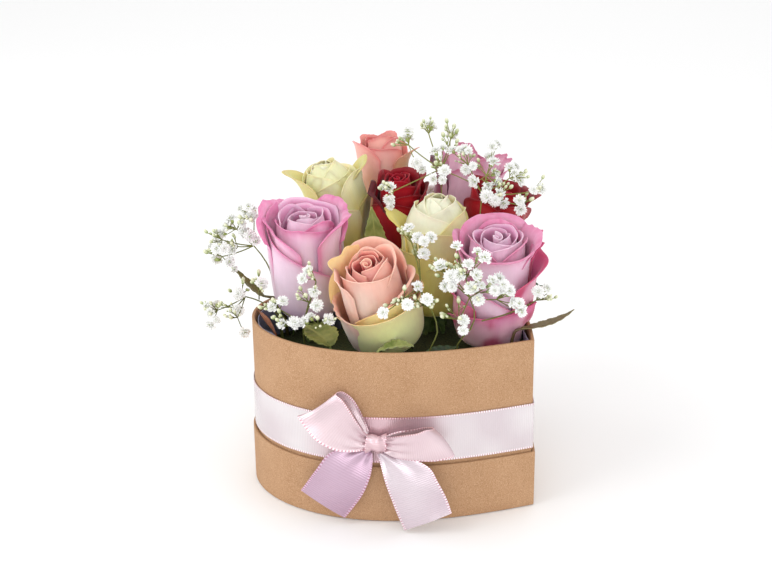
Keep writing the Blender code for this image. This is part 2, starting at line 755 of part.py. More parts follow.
SPRAYS = (
    Spray("spray_left_high", (-53, -30), ((-57, -32, 96), (-63, -31, 113), (-70, -36, 123)),
          (Head((-67, -35, 141), 6.5, 3, 1), Head((-75, -41, 135), 6, 2, 1), Head((-83, -47, 127), 6.5, 2, 1),
           Head((-82, -48, 117), 6, 2, 1), Head((-76, -40, 122), 5, 2, 1))),
    Spray("spray_left_low", (-46, -37), ((-47, -38, 88), (-57, -43, 96), (-64, -46, 97)),
          (Head((-82, -57, 87), 6, 2, 1), Head((-68, -51, 89), 5, 1, 1), Head((-70, -44, 97), 5, 1, 0),
           Head((-54, -46, 105), 5, 2, 1), Head((-62, -60, 87), 4, 1, 1))),
    Spray("spray_front_left", (-18, -50), ((-19, -54, 88), (-16, -56, 97)),
          (Head((-32, -58, 102), 6, 2, 1), Head((-14, -53, 110), 6, 2, 1), Head((-10, -49, 122), 4, 0, 2),
           Head((-22, -62, 95), 5, 1, 0), Head((-1, -60, 100), 5, 1, 1))),
    Spray("spray_front_middle", (38, -33), ((41, -36, 90), (40, -36, 106), (32, -26, 122)),
          (Head((14, -17, 133), 6, 2, 2), Head((26, -17, 128), 6, 2, 1), Head((35, -41, 118), 4, 1, 0),
           Head((44, -36, 114), 4, 1, 1))),
    Spray("spray_front_right", (60, -14), ((62, -21, 92), (64, -24, 106), (62, -26, 117)),
          (Head((46, -25, 128), 5, 2, 0), Head((53, -24, 124), 6, 2, 1), Head((61, -26, 130), 4, 1, 1),
           Head((66, -24, 120), 6, 2, 1), Head((76, -16, 116), 6, 2, 1), Head((60, -32, 106), 4, 1, 1),
           Head((81, 17, 107), 4, 1, 1))),
    Spray("spray_top_middle", (2, 42), ((1, 42, 100), (2, 42, 130), (4, 38, 158)),
          (Head((-13, 30, 174), 6, 2, 1), Head((-3, 36, 181), 5, 1, 2), Head((6, 46, 175), 5, 1, 1),
           Head((8, 42, 168), 6, 2, 1), Head((-8, 10, 152), 4, 1, 1))),
    Spray("spray_top_right", (34, 31), ((34, 31, 100), (32, 31, 130), (30, 32, 150)),
          (Head((16, 28, 161), 6, 2, 1), Head((22, 38, 165), 6, 2, 1), Head((34, 37, 159), 6, 2, 1),
           Head((45, 42, 160), 6, 2, 1), Head((58, 46, 153), 5, 1, 2), Head((53, 38, 145), 4, 1, 0),
           Head((41, 36, 149), 5, 1, 0))),
    Spray("spray_back", (-22, 56), ((-24, 62, 96), (-26, 72, 112)),
          (Head((-40, 82, 124), 6, 2, 1), Head((-26, 88, 130), 6, 2, 1), Head((-50, 78, 112), 5, 2, 1))),
)


def clear_of_blooms(point, margin):
    """Move a point out of every bloom it lies in, straight out from the bloom's axis."""
    place = Vector(point)
    for _ in range(6):
        moved = False
        for rose in ROSES:
            foot, axis = Vector(rose.foot), rose.axis
            rise = (place - foot).dot(axis)
            if not -8.0 < rise < rose.height + 4.0:
                continue
            middle = foot + axis * rise
            away = place - middle
            room = rose.radius * outer_share(max(rise, 0.0) / rose.height) + margin
            if away.length < room:
                place = middle + away.normalized() * (room + 0.05)
                moved = True
        if not moved:
            break
    return place


class Growth:
    """A body grown without cuts: each twig, flower and bud starts from a triangle of what carries it."""

    def __init__(self):
        self.points = []
        self.faces = []

    def seed(self, place, facing, reach):
        """The first triangle, capped behind."""
        across = facing.orthogonal().normalized()
        beside = facing.cross(across)
        for i in range(3):
            turn = 2 * math.pi * i / 3
            self.points.append(place + (across * math.cos(turn) + beside * math.sin(turn)) * reach)
        self.faces.append([2, 1, 0])
        return (0, 1, 2)

    def ring(self, face, place, facing, reach, count=3, turned=0.0):
        """New points round a place, the first one beside the triangle's first corner."""
        centre = sum((self.points[i] for i in face), Vector()) / len(face)
        across = self.points[face[0]] - centre
        across = (across - facing * across.dot(facing)).normalized()
        beside = facing.cross(across)
        start = len(self.points)
        for i in range(count):
            turn = turned + 2 * math.pi * i / count
            self.points.append(place + (across * math.cos(turn) + beside * math.sin(turn)) * reach)
        return tuple(range(start, start + count))

    def extend(self, face, place, facing, reach):
        """Draw the triangle out to a place."""
        far = self.ring(face, place, facing, reach)
        for i in range(3):
            j = (i + 1) % 3
            self.faces += [[face[i], face[j], far[j]], [face[i], far[j], far[i]]]
        return far

    def joint(self, face, place, facing):
        """A swollen joint round a place; returns the triangles that twigs can start from."""
        near = self.extend(face, place - facing * JOINT_BELOW, facing, HUB_RADIUS)
        far = self.ring(near, place + facing * JOINT_ABOVE, facing, HUB_RADIUS * JOINT_TAPER,
                        turned=math.pi / 3)
        free = [far]
        for i in range(3):
            j = (i + 1) % 3
            free += [(near[i], near[j], far[i]), (near[j], far[j], far[i])]
        return free

    def take(self, free, way):
        """The free triangle that looks most along a way."""
        def look(face):
            a, b, c = (self.points[i] for i in face)
            return (b - a).cross(c - a).normalized().dot(way)
        best = max(free, key=look)
        free.remove(best)
        return best

    def close(self, free):
        """Cap the triangles that nothing grew from."""
        self.faces += [list(face) for face in free]

    def floret(self, face, place, facing):
        """A stalk with a small double flower: nine rim points, every third one drawn in."""
        neck = self.extend(face, place - facing * STALK_BELOW, facing, TWIG_RADIUS * 0.9)
        rim = self.ring(neck, place + facing * RIM_ABOVE, facing, FLORET_RADIUS, 9, -2 * math.pi / 9)
        for i in (2, 5, 8):
            self.points[rim[i]] = place.lerp(self.points[rim[i]], RIM_NOTCH) - facing * NOTCH_DROP
        top = len(self.points)
        self.points.append(place + facing * EYE_ABOVE)
        for i in range(3):
            j = (i + 1) % 3
            a, b, c, d = rim[3 * i], rim[3 * i + 1], rim[3 * i + 2], rim[(3 * i + 3) % 9]
            self.faces += [[neck[i], b, a], [neck[i], c, b], [neck[i], neck[j], c], [neck[j], d, c]]
        for i in range(9):
            self.faces.append([top, rim[i], rim[(i + 1) % 9]])

    def bud(self, face, place, facing):
        """A stalk with a round closed bud."""
        neck = self.extend(face, place - facing * 1.6, facing, TWIG_RADIUS * 0.75)
        belly = self.extend(neck, place, facing, BUD_RADIUS * 1.15)
        top = len(self.points)
        self.points.append(place + facing * 1.5)
        for i in range(3):
            self.faces.append([belly[i], belly[(i + 1) % 3], top])


def apart_from_line(point, start, end):
    """How far a point is from the line between two places."""
    run = end - start
    share = min(1.0, max(0.0, (point - start).dot(run) / max(run.length_squared, 1e-9)))
    return (point - start - run * share).length


class Room:
    """What is already placed, so that a new flower is put where there is room."""

    def __init__(self):
        self.balls = []
        self.lines = []

    def left(self, place, size):
        """How much room is left round a place for something of this size."""
        spare = 99.0
        for other, other_size in self.balls:
            spare = min(spare, (place - other).length - size - other_size)
        for start, end in self.lines:
            spare = min(spare, apart_from_line(place, start, end) - size - TWIG_RADIUS)
        return spare


def spray_routes(spray):
    """The stem's places and, for each head, the stem place it forks from, its knee and its base."""
    hole = Vector((spray.hole[0], spray.hole[1], FOAM_TOP - HOLE_DEPTH + GAP))
    mouth = Vector((spray.hole[0], spray.hole[1], FOAM_TOP + 1.0))
    stem = [hole, mouth] + [clear_of_blooms(p, 1.8) for p in spray.route]
    heads = []
    for head in spray.heads:
        middle = Vector(head.place)
        fork = min(range(2, len(stem)), key=lambda k: (stem[k] - middle).length)
        run = middle - stem[fork]
        knee = stem[fork] + run * 0.5 - Vector((0, 0, 0.08 * run.length))
        base = stem[fork] + run * (1.0 - head.spread / max(run.length, head.spread + 1.0))
        heads.append((fork, clear_of_blooms(knee, 1.5), clear_of_blooms(base, 1.8), head))
    return stem, heads


def place_flowers(spray, heads, room):
    """Florets and buds of each head, each tried in several directions until one has room."""
    chance = random.Random(spray.name)
    placed = []
    for fork, knee, base, head in heads:
        growth = (Vector(head.place) - knee).normalized()
        around = growth.orthogonal().normalized()
        for kind, count, size, stretch in (("floret", head.florets, FLORET_RADIUS, 1.0),
                                           ("bud", head.buds, BUD_RADIUS, 1.3)):
            for _ in range(count):
                best = None
                for _ in range(PLACE_TRIES):
                    lean = math.radians(chance.uniform(10.0, 78.0))
                    out = Matrix.Rotation(chance.uniform(0.0, 2 * math.pi), 3, growth) @ around
                    way = growth * math.cos(lean) + out * math.sin(lean)
                    reach = head.spread * stretch * chance.uniform(0.85, 1.3)
                    tip = clear_of_blooms(base + way * reach, size + 0.9)
                    middle = base.lerp(tip, 0.5)
                    spare = min(room.left(tip, size), room.left(middle, TWIG_RADIUS) + 0.2)
                    if best is None or spare > best[0]:
                        best = (spare, tip)
                    if spare > 0.5:
                        break
                spare, tip = best
                if spare > 0.15:
                    room.balls.append((tip, size))
                    placed.append((kind, base, tip))
    return placed


def build_spray(spray, stem, heads, placed):
    """One body of stem, twigs, double florets and buds."""
    grown = Growth()
    up = Vector((0.0, 0.0, 1.0))
    face = grown.seed(stem[0], up, TWIG_RADIUS * 1.3)
    face = grown.extend(face, stem[1], up, TWIG_RADIUS * 1.3)
    for k in range(2, len(stem)):
        way = (stem[k] - stem[k - 1]).normalized()
        free = grown.joint(face, stem[k], way)
        if k + 1 < len(stem):
            face = grown.take(free, (stem[k + 1] - stem[k]).normalized())
        for fork, knee, base, head in heads:
            if fork != k:
                continue
            start = grown.take(free, (knee - stem[k]).normalized())
            start = grown.extend(start, knee, (base - stem[k]).normalized(), TWIG_RADIUS)
            open_faces = grown.joint(start, base, (base - knee).normalized())
            for kind, root, tip in placed:
                if root is not base:
                    continue
                facing = (tip - base).normalized()
                grow = grown.floret if kind == "floret" else grown.bud
                grow(grown.take(open_faces, facing), tip, facing)
            grown.close(open_faces)
        grown.close(free)
    solid(spray.name, grown.points, grown.faces, material("gypsophila", SPRAY_WHITE, 0.7), smooth=0)


def build_sprays():
    """All stems and twigs are laid out first, then the flowers go where there is room."""
    room = Room()
    routes = [spray_routes(spray) for spray in SPRAYS]
    for stem, heads in routes:
        room.lines += list(zip(stem, stem[1:]))
        for fork, knee, base, head in heads:
            room.lines += [(stem[fork], knee), (knee, knee.lerp(base, 0.9))]
    for spray, (stem, heads) in zip(SPRAYS, routes):
        build_spray(spray, stem, heads, place_flowers(spray, heads, room))


# Leaves.

@dataclass(frozen=True)
class Leaf:
    """A toothed blade on a stalk: its hole, the blade's foot, middle and tip, and its width."""
    name: str
    hole: tuple
    foot: tuple
    middle: tuple
    tip: tuple
    half_width: float
    colour: tuple


LEAF_BROWN = (0.16, 0.13, 0.045, 1.0)
LEAF_RUST = (0.42, 0.20, 0.09, 1.0)
LEAF_GREEN = (0.06, 0.14, 0.03, 1.0)
LEAF_DARK = (0.02, 0.06, 0.02, 1.0)

LEAVES = (
    Leaf("leaf_left_tall", (-54, -24), (-60, -24, 95.5), (-70, -28, 105), (-80, -34, 113), 5.0, LEAF_BROWN),
    Leaf("leaf_rim_left", (-40, -48), (-40, -50, 80), (-50, -46, 84), (-54, -36, 86), 3.2, LEAF_RUST),
    Leaf("leaf_right", (70, 2), (75, 5, 93.5), (82, 19, 94), (87, 38, 98), 4.2, LEAF_BROWN),
    Leaf("leaf_front_left", (-2, -52), (-4, -50, 84), (-14, -46, 88), (-26, -44, 88), 9.0, LEAF_DARK),
    Leaf("leaf_front", (20, -47), (22, -46, 84), (31, -42, 88), (38, -37, 87), 6.0, LEAF_GREEN),
    Leaf("leaf_front_right", (43, -37), (44, -37, 84), (49, -30, 87), (55, -22, 88), 5.0, LEAF_DARK),
    Leaf("leaf_middle", (-16, 10), (-14, 6, 100), (-12, 1, 122), (-15, 1, 143), 7.0, LEAF_GREEN),
    Leaf("leaf_back_left", (-34, 52), (-38, 56, 93.5), (-48, 66, 99), (-60, 72, 96), 8.0, LEAF_DARK),
    Leaf("leaf_back", (9, 59), (10, 64, 93.5), (16, 74, 100), (22, 84, 97), 9.0, LEAF_GREEN),
    Leaf("leaf_back_right", (48, 32), (50, 38, 93.5), (54, 48, 99), (60, 55, 97), 8.0, LEAF_DARK),
)


def build_leaf(leaf):
    """Stalk and folded blade with a toothed edge, drawn out as one body of six-point rings."""
    foot, middle, tip = Vector(leaf.foot), Vector(leaf.middle), Vector(leaf.tip)
    hole = Vector((leaf.hole[0], leaf.hole[1], FOAM_TOP - HOLE_DEPTH + GAP))
    mouth = Vector((leaf.hole[0], leaf.hole[1], FOAM_TOP + 1.0))
    knee = mouth.lerp(foot, 0.6) + Vector((0, 0, 1.0))
    if foot.z > BOX_TOP:
        knee = Vector((hole.x + 0.2 * (foot.x - hole.x), hole.y + 0.2 * (foot.y - hole.y), BOX_TOP + 0.5))
    rings = []
    first = (middle - foot).normalized()
    first_side = first.cross(Vector((0, 0, 1)))
    if first_side.length < 0.5:
        first_side = first.cross(FACING_OUT)
    rise = Vector((0, 0, 1))
    for place, run in ((hole, rise), (mouth, rise), (knee, (foot - mouth).normalized())):
        side = (first_side - run * first_side.dot(run)).normalized()
        up = side.cross(run)
        rings.append([place + side * c + up * h for c, h in STALK_RING])
    for i in range(LEAF_ROWS):
        t = i / (LEAF_ROWS - 1)
        place = foot * (1 - t) ** 2 + middle * 2 * t * (1 - t) + tip * t * t
        run = ((middle - foot) * (1 - t) + (tip - middle) * t).normalized()
        side = (first_side - run * first_side.dot(run)).normalized()
        up = side.cross(run)
        tooth = 1.0 if i % 2 else 0.84
        half = max(0.7, leaf.half_width * math.sin(math.pi * min(1.0, 0.05 + 0.95 * t) ** 0.85) * tooth)
        lift, thick = LEAF_FOLD * half, LEAF_THICK / 2
        shape = ((-half, lift + thick), (0, thick), (half, lift + thick), (half, lift - thick), (0, -thick),
                 (-half, lift - thick))
        rings.append([place + side * c + up * h for c, h in shape])
    points = [p for around in rings for p in around]
    faces = [list(reversed(range(6))), [6 * (len(rings) - 1) + k for k in range(6)]]
    for r in range(len(rings) - 1):
        for k in range(6):
            m = (k + 1) % 6
            a, b, c, d = 6 * r + k, 6 * r + m, 6 * r + 6 + m, 6 * r + 6 + k
            faces += [[a, b, c], [a, c, d]] if k not in (1, 4) else [[a, b, d], [b, c, d]]
    solid(leaf.name, points, faces, material(leaf.name, leaf.colour, 0.6))


def stem_holes():
    """Every hole in the foam: roses, sprays and leaves."""
    holes = [(rose.hole[0], rose.hole[1], STEM_RADIUS + GAP + 0.2) for rose in ROSES]
    holes += [(spray.hole[0], spray.hole[1], TWIG_RADIUS * 1.25 + GAP + 0.3) for spray in SPRAYS]
    holes += [(leaf.hole[0], leaf.hole[1], 1.0 + GAP + 0.3) for leaf in LEAVES]
    return holes


def main():
    clear_scene()
    foam = build_box()
    pierce(foam, stem_holes())
    build_ribbon()
    for rose in ROSES:
        build_rose(rose)
        build_rose_stem(rose)
    build_sprays()
    for leaf in LEAVES:
        build_leaf(leaf)


main()
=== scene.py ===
"""Looks of a heart-shaped kraft box of roses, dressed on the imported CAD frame.

Frame: metres, +Z up, origin on the underside of the lid in the middle of the heart.
Sizes and places below are in millimetres unless a name says otherwise.
"""
from __future__ import annotations

import logging
import math
import random
from collections.abc import Callable, Iterable, Iterator, Sequence
from contextlib import contextmanager
from dataclasses import dataclass, field
from enum import Enum

import bpy
import numpy as np
from mathutils import Matrix, Vector, noise
from mathutils.geometry import intersect_line_line_2d


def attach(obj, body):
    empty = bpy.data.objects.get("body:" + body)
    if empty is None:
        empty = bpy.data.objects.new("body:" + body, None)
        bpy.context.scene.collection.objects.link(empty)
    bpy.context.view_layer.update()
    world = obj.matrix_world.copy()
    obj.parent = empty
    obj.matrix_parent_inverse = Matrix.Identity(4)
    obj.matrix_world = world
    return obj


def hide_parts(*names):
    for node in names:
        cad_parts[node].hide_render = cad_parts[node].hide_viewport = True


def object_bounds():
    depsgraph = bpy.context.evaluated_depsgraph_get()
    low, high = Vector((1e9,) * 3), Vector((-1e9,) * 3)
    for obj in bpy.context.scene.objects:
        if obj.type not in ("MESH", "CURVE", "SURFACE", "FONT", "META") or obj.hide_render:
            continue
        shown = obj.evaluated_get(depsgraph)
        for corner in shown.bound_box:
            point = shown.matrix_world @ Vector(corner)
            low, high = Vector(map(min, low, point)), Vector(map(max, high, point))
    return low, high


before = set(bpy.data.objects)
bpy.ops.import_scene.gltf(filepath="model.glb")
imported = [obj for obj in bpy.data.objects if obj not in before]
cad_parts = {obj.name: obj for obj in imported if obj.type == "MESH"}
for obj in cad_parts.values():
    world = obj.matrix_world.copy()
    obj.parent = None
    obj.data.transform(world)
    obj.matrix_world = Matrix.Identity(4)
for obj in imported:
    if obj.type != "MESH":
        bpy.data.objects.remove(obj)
CAD_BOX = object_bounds()

LOG = logging.getLogger("rose_box")
MM = 0.001
BODY = "root"

# Heights that several pieces share.
RIM_TOP = 91.3
FOAM_TOP = 70.0
HOLE_BOTTOM = 38.3

# Level direction towards the photograph's viewer, and the way up.
TO_VIEWER = Vector((0.592, -0.806, 0.0))
UP = Vector((0.0, 0.0, 1.0))

Colour = tuple[float, float, float, float]
Picked = tuple[int, int, int]
Place = tuple[float, float, float]
WHITE: Colour = (1.0, 1.0, 1.0, 1.0)


def srgb(red: int, green: int, blue: int) -> Colour:
    """Linear colour from the 0 to 255 values of a colour picker."""
    def linear(value: int) -> float:
        """One channel, made linear."""
        share = value / 255.0
        return share / 12.92 if share <= 0.04045 else ((share + 0.055) / 1.055) ** 2.4
    return (linear(red), linear(green), linear(blue), 1.0)


def blend(first: Colour, second: Colour, share: float) -> Colour:
    """Mix of two colours, the second one by its share."""
    share = min(1.0, max(0.0, share))
    return tuple(a + (b - a) * share for a, b in zip(first, second))


def ramp(value: float, low: float, high: float) -> float:
    """Smooth step from 0 at low to 1 at high."""
    share = min(1.0, max(0.0, (value - low) / (high - low)))
    return share * share * (3.0 - 2.0 * share)


# Work on meshes.

def deselect() -> None:
    """Clear the selection."""
    bpy.ops.object.select_all(action="DESELECT")


def make_active(piece: bpy.types.Object) -> None:
    """Select one piece alone and work on it."""
    deselect()
    piece.select_set(True)
    bpy.context.view_layer.objects.active = piece


@contextmanager
def editing(piece: bpy.types.Object) -> Iterator[None]:
    """Work on a piece in edit mode, all of it selected."""
    make_active(piece)
    bpy.ops.object.mode_set(mode="EDIT")
    bpy.ops.mesh.select_all(action="SELECT")
    yield
    bpy.ops.object.mode_set(mode="OBJECT")


def apply_modifier(piece: bpy.types.Object, kind: str, **settings: object) -> None:
    """Add a modifier, set it and apply it.

    Args:
        piece: The mesh object it shapes.
        kind: Blender's name of the modifier.
        settings: The modifier's own settings.
    """
    make_active(piece)
    modifier = piece.modifiers.new(kind.lower(), kind)
    for key, value in settings.items():
        setattr(modifier, key, value)
    bpy.ops.object.modifier_apply(modifier=modifier.name)


def smooth(piece: bpy.types.Object, angle: float = 50.0) -> None:
    """Shade a piece smooth up to an angle in degrees."""
    make_active(piece)
    bpy.ops.object.shade_smooth_by_angle(angle=math.radians(angle))


def join(pieces: Sequence[bpy.types.Object], name: str) -> bpy.types.Object:
    """Join pieces into the first one.

    Args:
        pieces: Mesh objects.
        name: Name of the joined object.

    Returns:
        The joined object.
    """
    deselect()
    for piece in pieces:
        piece.select_set(True)
    bpy.context.view_layer.objects.active = pieces[0]
    if len(pieces) > 1:
        bpy.ops.object.join()
    pieces[0].name = name
    pieces[0].data.name = name
    return pieces[0]


def grid_sheet(name: str, columns: int, rows: int,
               place: Callable[[float, float], Vector]) -> bpy.types.Object:
    """A grid laid out by a rule.

    Args:
        name: Name of the object.
        columns: Faces across.
        rows: Faces along.
        place: Gives the point in millimetres for u and v from 0 to 1.

    Returns:
        The new object, with a UV map of u and v.
    """
    deselect()
    bpy.ops.mesh.primitive_grid_add(x_subdivisions=columns, y_subdivisions=rows, size=1.0, calc_uvs=True)
    sheet = bpy.context.active_object
    sheet.name = name
    for vert in sheet.data.vertices:
        vert.co = place(vert.co.x + 0.5, vert.co.y + 0.5) * MM
    return sheet


def merge_seams(piece: bpy.types.Object, distance: float = 0.01) -> None:
    """Merge points that lie together, such as a seam or a pole."""
    with editing(piece):
        bpy.ops.mesh.remove_doubles(threshold=distance * MM)


def face_out(piece: bpy.types.Object) -> None:
    """Turn all faces of a closed piece outwards."""
    with editing(piece):
        bpy.ops.mesh.normals_make_consistent(inside=False)


def thicken(piece: bpy.types.Object, thickness: float) -> int:
    """Give a sheet its thickness behind its front.

    Args:
        piece: The sheet.
        thickness: In millimetres.

    Returns:
        How many points the front has; the ones after them lie behind it.
    """
    count = len(piece.data.vertices)
    apply_modifier(piece, "SOLIDIFY", thickness=thickness * MM, offset=-1.0, use_quality_normals=True)
    return count


def paint(piece: bpy.types.Object, layer: str, colours: Sequence[Colour]) -> None:
    """Store one colour a point."""
    layers = piece.data.color_attributes
    made = layers.get(layer) or layers.new(layer, "FLOAT_COLOR", "POINT")
    made.data.foreach_set("color", np.array(colours, dtype=np.float32).ravel())


def painted(piece: bpy.types.Object, layer: str) -> np.ndarray:
    """The stored colours, a row for each point."""
    flat = np.empty(len(piece.data.vertices) * 4, dtype=np.float32)
    piece.data.color_attributes[layer].data.foreach_get("color", flat)
    return flat.reshape(-1, 4)


def tubes(name: str, paths: Sequence[Sequence[tuple[Vector, float]]], sides: int = 1) -> bpy.types.Object:
    """Round twigs or stems along paths.

    Args:
        name: Name of the object.
        paths: For each one, its places and radii in millimetres.
        sides: Curve bevel resolution.

    Returns:
        One mesh object with closed ends.
    """
    curve = bpy.data.curves.new(name, "CURVE")
    curve.dimensions = "3D"
    curve.bevel_depth = MM
    curve.bevel_resolution = sides
    curve.use_fill_caps = True
    curve.resolution_u = 3
    for path in paths:
        twig = curve.splines.new("NURBS")
        twig.points.add(len(path) - 1)
        for point, (place, radius) in zip(twig.points, path):
            point.co = (*(place * MM), 1.0)
            point.radius = radius
        twig.order_u = min(3, len(path))
        twig.use_endpoint_u = True
    made = bpy.data.objects.new(name, curve)
    bpy.context.scene.collection.objects.link(made)
    make_active(made)
    bpy.ops.object.convert(target="MESH")
    return bpy.context.active_object


def spline(points: Sequence[Sequence[float]], share: float) -> tuple[list[float], list[float]]:
    """A smooth run through rows of numbers.

    Args:
        points: Rows of the same length.
        share: Where on the run, from 0 to 1.

    Returns:
        The row there and its change per span.
    """
    spans = len(points) - 1
    span = min(int(share * spans), spans - 1)
    t = share * spans - span
    a, b = points[max(span - 1, 0)], points[span]
    c, d = points[span + 1], points[min(span + 2, spans)]
    place, change = [], []
    for i in range(len(b)):
        square = 2 * a[i] - 5 * b[i] + 4 * c[i] - d[i]
        cube = 3 * b[i] - a[i] - 3 * c[i] + d[i]
        place.append(0.5 * (2 * b[i] + (c[i] - a[i]) * t + square * t * t + cube * t ** 3))
        change.append(0.5 * ((c[i] - a[i]) + 2 * square * t + 3 * cube * t * t))
    return place, change


def places_along(line: Sequence[Sequence[float]], shares: Iterable[float]) -> Iterator[tuple[int, float]]:
    """Find places along a line by their shares of its length, in rising order.

    Args:
        line: Points that start with x and y.
        shares: From 0 to 1.

    Returns:
        For each share, the number of its span and how far along that span it is.
    """
    reach = [0.0]
    for a, b in zip(line, line[1:]):
        reach.append(reach[-1] + math.dist(a[:2], b[:2]))
    at = 0
    for share in shares:
        wanted = reach[-1] * share
        while at < len(reach) - 2 and reach[at + 1] < wanted - 1e-9:
            at += 1
        yield at, (wanted - reach[at]) / (reach[at + 1] - reach[at])


def dress(piece: bpy.types.Object, finish: bpy.types.Material) -> None:
    """Give a piece its one material."""
    piece.data.materials.clear()
    piece.data.materials.append(finish)
    for face in piece.data.polygons:
        face.material_index = 0


def finish_piece(piece: bpy.types.Object, node: str, slot: str, finish: bpy.types.Material) -> None:
    """Dress a piece, let it ride on the box and stand for its CAD node.

    Args:
        piece: The finished mesh object.
        node: CAD node it replaces.
        slot: Material slot; not used.
        finish: Its material.
    """
    dress(piece, finish)
    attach(piece, BODY)
    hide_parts(node)
    LOG.info("%s: %d faces, for %s", piece.name, len(piece.data.polygons), node)


# Materials.

class Recipe:
    """A material's node tree, written step by step."""

    def __init__(self, name: str, roughness: float) -> None:
        """Start from a plain Principled shader."""
        self.material = bpy.data.materials.new(name)
        self.material.use_nodes = True
        self.tree = self.material.node_tree
        self.shader = self.tree.nodes["Principled BSDF"]
        self.shader.inputs["Roughness"].default_value = roughness

    def node(self, kind: str, **settings: object) -> bpy.types.Node:
        """Add a node and set its own settings."""
        made = self.tree.nodes.new(kind)
        for key, value in settings.items():
            setattr(made, key, value)
        return made

    def feed(self, socket: bpy.types.NodeSocket, value: object) -> None:
        """Link a socket to another, or set its value."""
        if isinstance(value, bpy.types.NodeSocket):
            self.tree.links.new(value, socket)
        else:
            socket.default_value = value

    def place(self, scale: Place = (1.0, 1.0, 1.0), by_uv: bool = False) -> bpy.types.NodeSocket:
        """Object or UV coordinates, scaled."""
        source = self.node("ShaderNodeTexCoord")
        mapping = self.node("ShaderNodeMapping")
        mapping.inputs["Scale"].default_value = scale
        self.feed(mapping.inputs["Vector"], source.outputs["UV" if by_uv else "Object"])
        return mapping.outputs["Vector"]

    def noise(self, scale: float, place: bpy.types.NodeSocket,
              detail: float = 4.0) -> bpy.types.NodeSocket:
        """Noise from 0 to 1 at a scale per metre."""
        made = self.node("ShaderNodeTexNoise")
        self.feed(made.inputs["Vector"], place)
        made.inputs["Scale"].default_value = scale
        made.inputs["Detail"].default_value = detail
        return made.outputs["Fac"]

    def steps(self, value: object, *stops: tuple[float, float]) -> bpy.types.NodeSocket:
        """A value mapped from one range to another, clamped."""
        made = self.node("ShaderNodeMapRange")
        (low, start), (high, end) = stops
        self.feed(made.inputs["Value"], value)
        for key, number in (("From Min", low), ("From Max", high), ("To Min", start), ("To Max", end)):
            made.inputs[key].default_value = number
        return made.outputs["Result"]

    def mix(self, share: object, first: object, second: object, kind: str = "MIX") -> bpy.types.NodeSocket:
        """Two colours mixed by a share."""
        made = self.node("ShaderNodeMix", data_type="RGBA", blend_type=kind)
        self.feed(made.inputs[0], share)
        self.feed(made.inputs[6], first)
        self.feed(made.inputs[7], second)
        return made.outputs[2]

    def math(self, kind: str, first: object, second: object = 0.0) -> bpy.types.NodeSocket:
        """One step of arithmetic."""
        made = self.node("ShaderNodeMath", operation=kind)
        self.feed(made.inputs[0], first)
        self.feed(made.inputs[1], second)
        return made.outputs[0]

    def split(self, vector: bpy.types.NodeSocket, axis: str) -> bpy.types.NodeSocket:
        """One part of a vector."""
        made = self.node("ShaderNodeSeparateXYZ")
        self.feed(made.inputs[0], vector)
        return made.outputs[axis]

    def waves(self, place: bpy.types.NodeSocket, per_metre: float) -> bpy.types.NodeSocket:
        """Waves from -1 to 1 along X, so many a metre."""
        turned = self.math("MULTIPLY", self.split(place, "X"), per_metre * 2 * math.pi)
        return self.math("SINE", turned)

    def facing_up(self) -> bpy.types.NodeSocket:
        """How much the surface looks up."""
        return self.split(self.node("ShaderNodeNewGeometry").outputs["Normal"], "Z")

    def tint(self, layer: str = "tint") -> bpy.types.NodeSocket:
        """The colour painted on the piece's points."""
        return self.node("ShaderNodeAttribute", attribute_name=layer).outputs["Color"]

    def relief(self, height: bpy.types.NodeSocket, depth: float, strength: float = 1.0) -> None:
        """Bump from a height, its depth in millimetres."""
        made = self.node("ShaderNodeBump")
        made.inputs["Strength"].default_value = strength
        made.inputs["Distance"].default_value = depth * MM
        self.feed(made.inputs["Height"], height)
        self.feed(self.shader.inputs["Normal"], made.outputs["Normal"])

    def colour(self, value: object) -> None:
        """The shader's base colour."""
        self.feed(self.shader.inputs["Base Color"], value)

    def constants(self, **values: float) -> None:
        """Set shader sockets to plain numbers, underscores for spaces."""
        for key, value in values.items():
            self.shader.inputs[key.replace("_", " ")].default_value = value


@dataclass(frozen=True)
class KraftFinish:
    """Brown kraft board: mottled, with short darker and paler fibres and a paler cut edge."""

    board: Colour = srgb(181, 142, 107)
    shade: Colour = srgb(167, 127, 91)
    fibre: Colour = srgb(140, 102, 70)
    fleck: Colour = srgb(208, 174, 142)
    cut: Colour = srgb(172, 133, 97)

    def build(self) -> bpy.types.Material:
        """Make the material."""
        recipe = Recipe("kraft_board", 0.82)
        plain = recipe.place()
        cloud = recipe.noise(55.0, plain, 5.0)
        colour = recipe.mix(recipe.steps(cloud, (0.35, 0.0), (0.68, 0.55)), self.board, self.shade)
        streaks = recipe.noise(1.0, recipe.place((900.0, 900.0, 260.0)), 3.0)
        colour = recipe.mix(recipe.steps(streaks, (0.58, 0.0), (0.78, 0.30)), colour, self.fibre)
        grain = recipe.noise(2300.0, plain, 3.0)
        colour = recipe.mix(recipe.steps(grain, (0.52, 0.0), (0.68, 0.60)), colour, self.fleck)
        colour = recipe.mix(recipe.steps(grain, (0.32, 0.55), (0.46, 0.0)), colour, self.fibre)
        specks = recipe.noise(900.0, plain, 1.0)
        colour = recipe.mix(recipe.steps(specks, (0.71, 0.0), (0.77, 0.45)), colour, self.fibre)
        colour = recipe.mix(recipe.steps(recipe.facing_up(), (0.7, 0.0), (0.9, 0.6)), colour, self.cut)
        recipe.colour(colour)
        recipe.relief(recipe.math("ADD", grain, streaks), 0.12, 0.35)
        recipe.constants(Specular_IOR_Level=0.3)
        return recipe.material


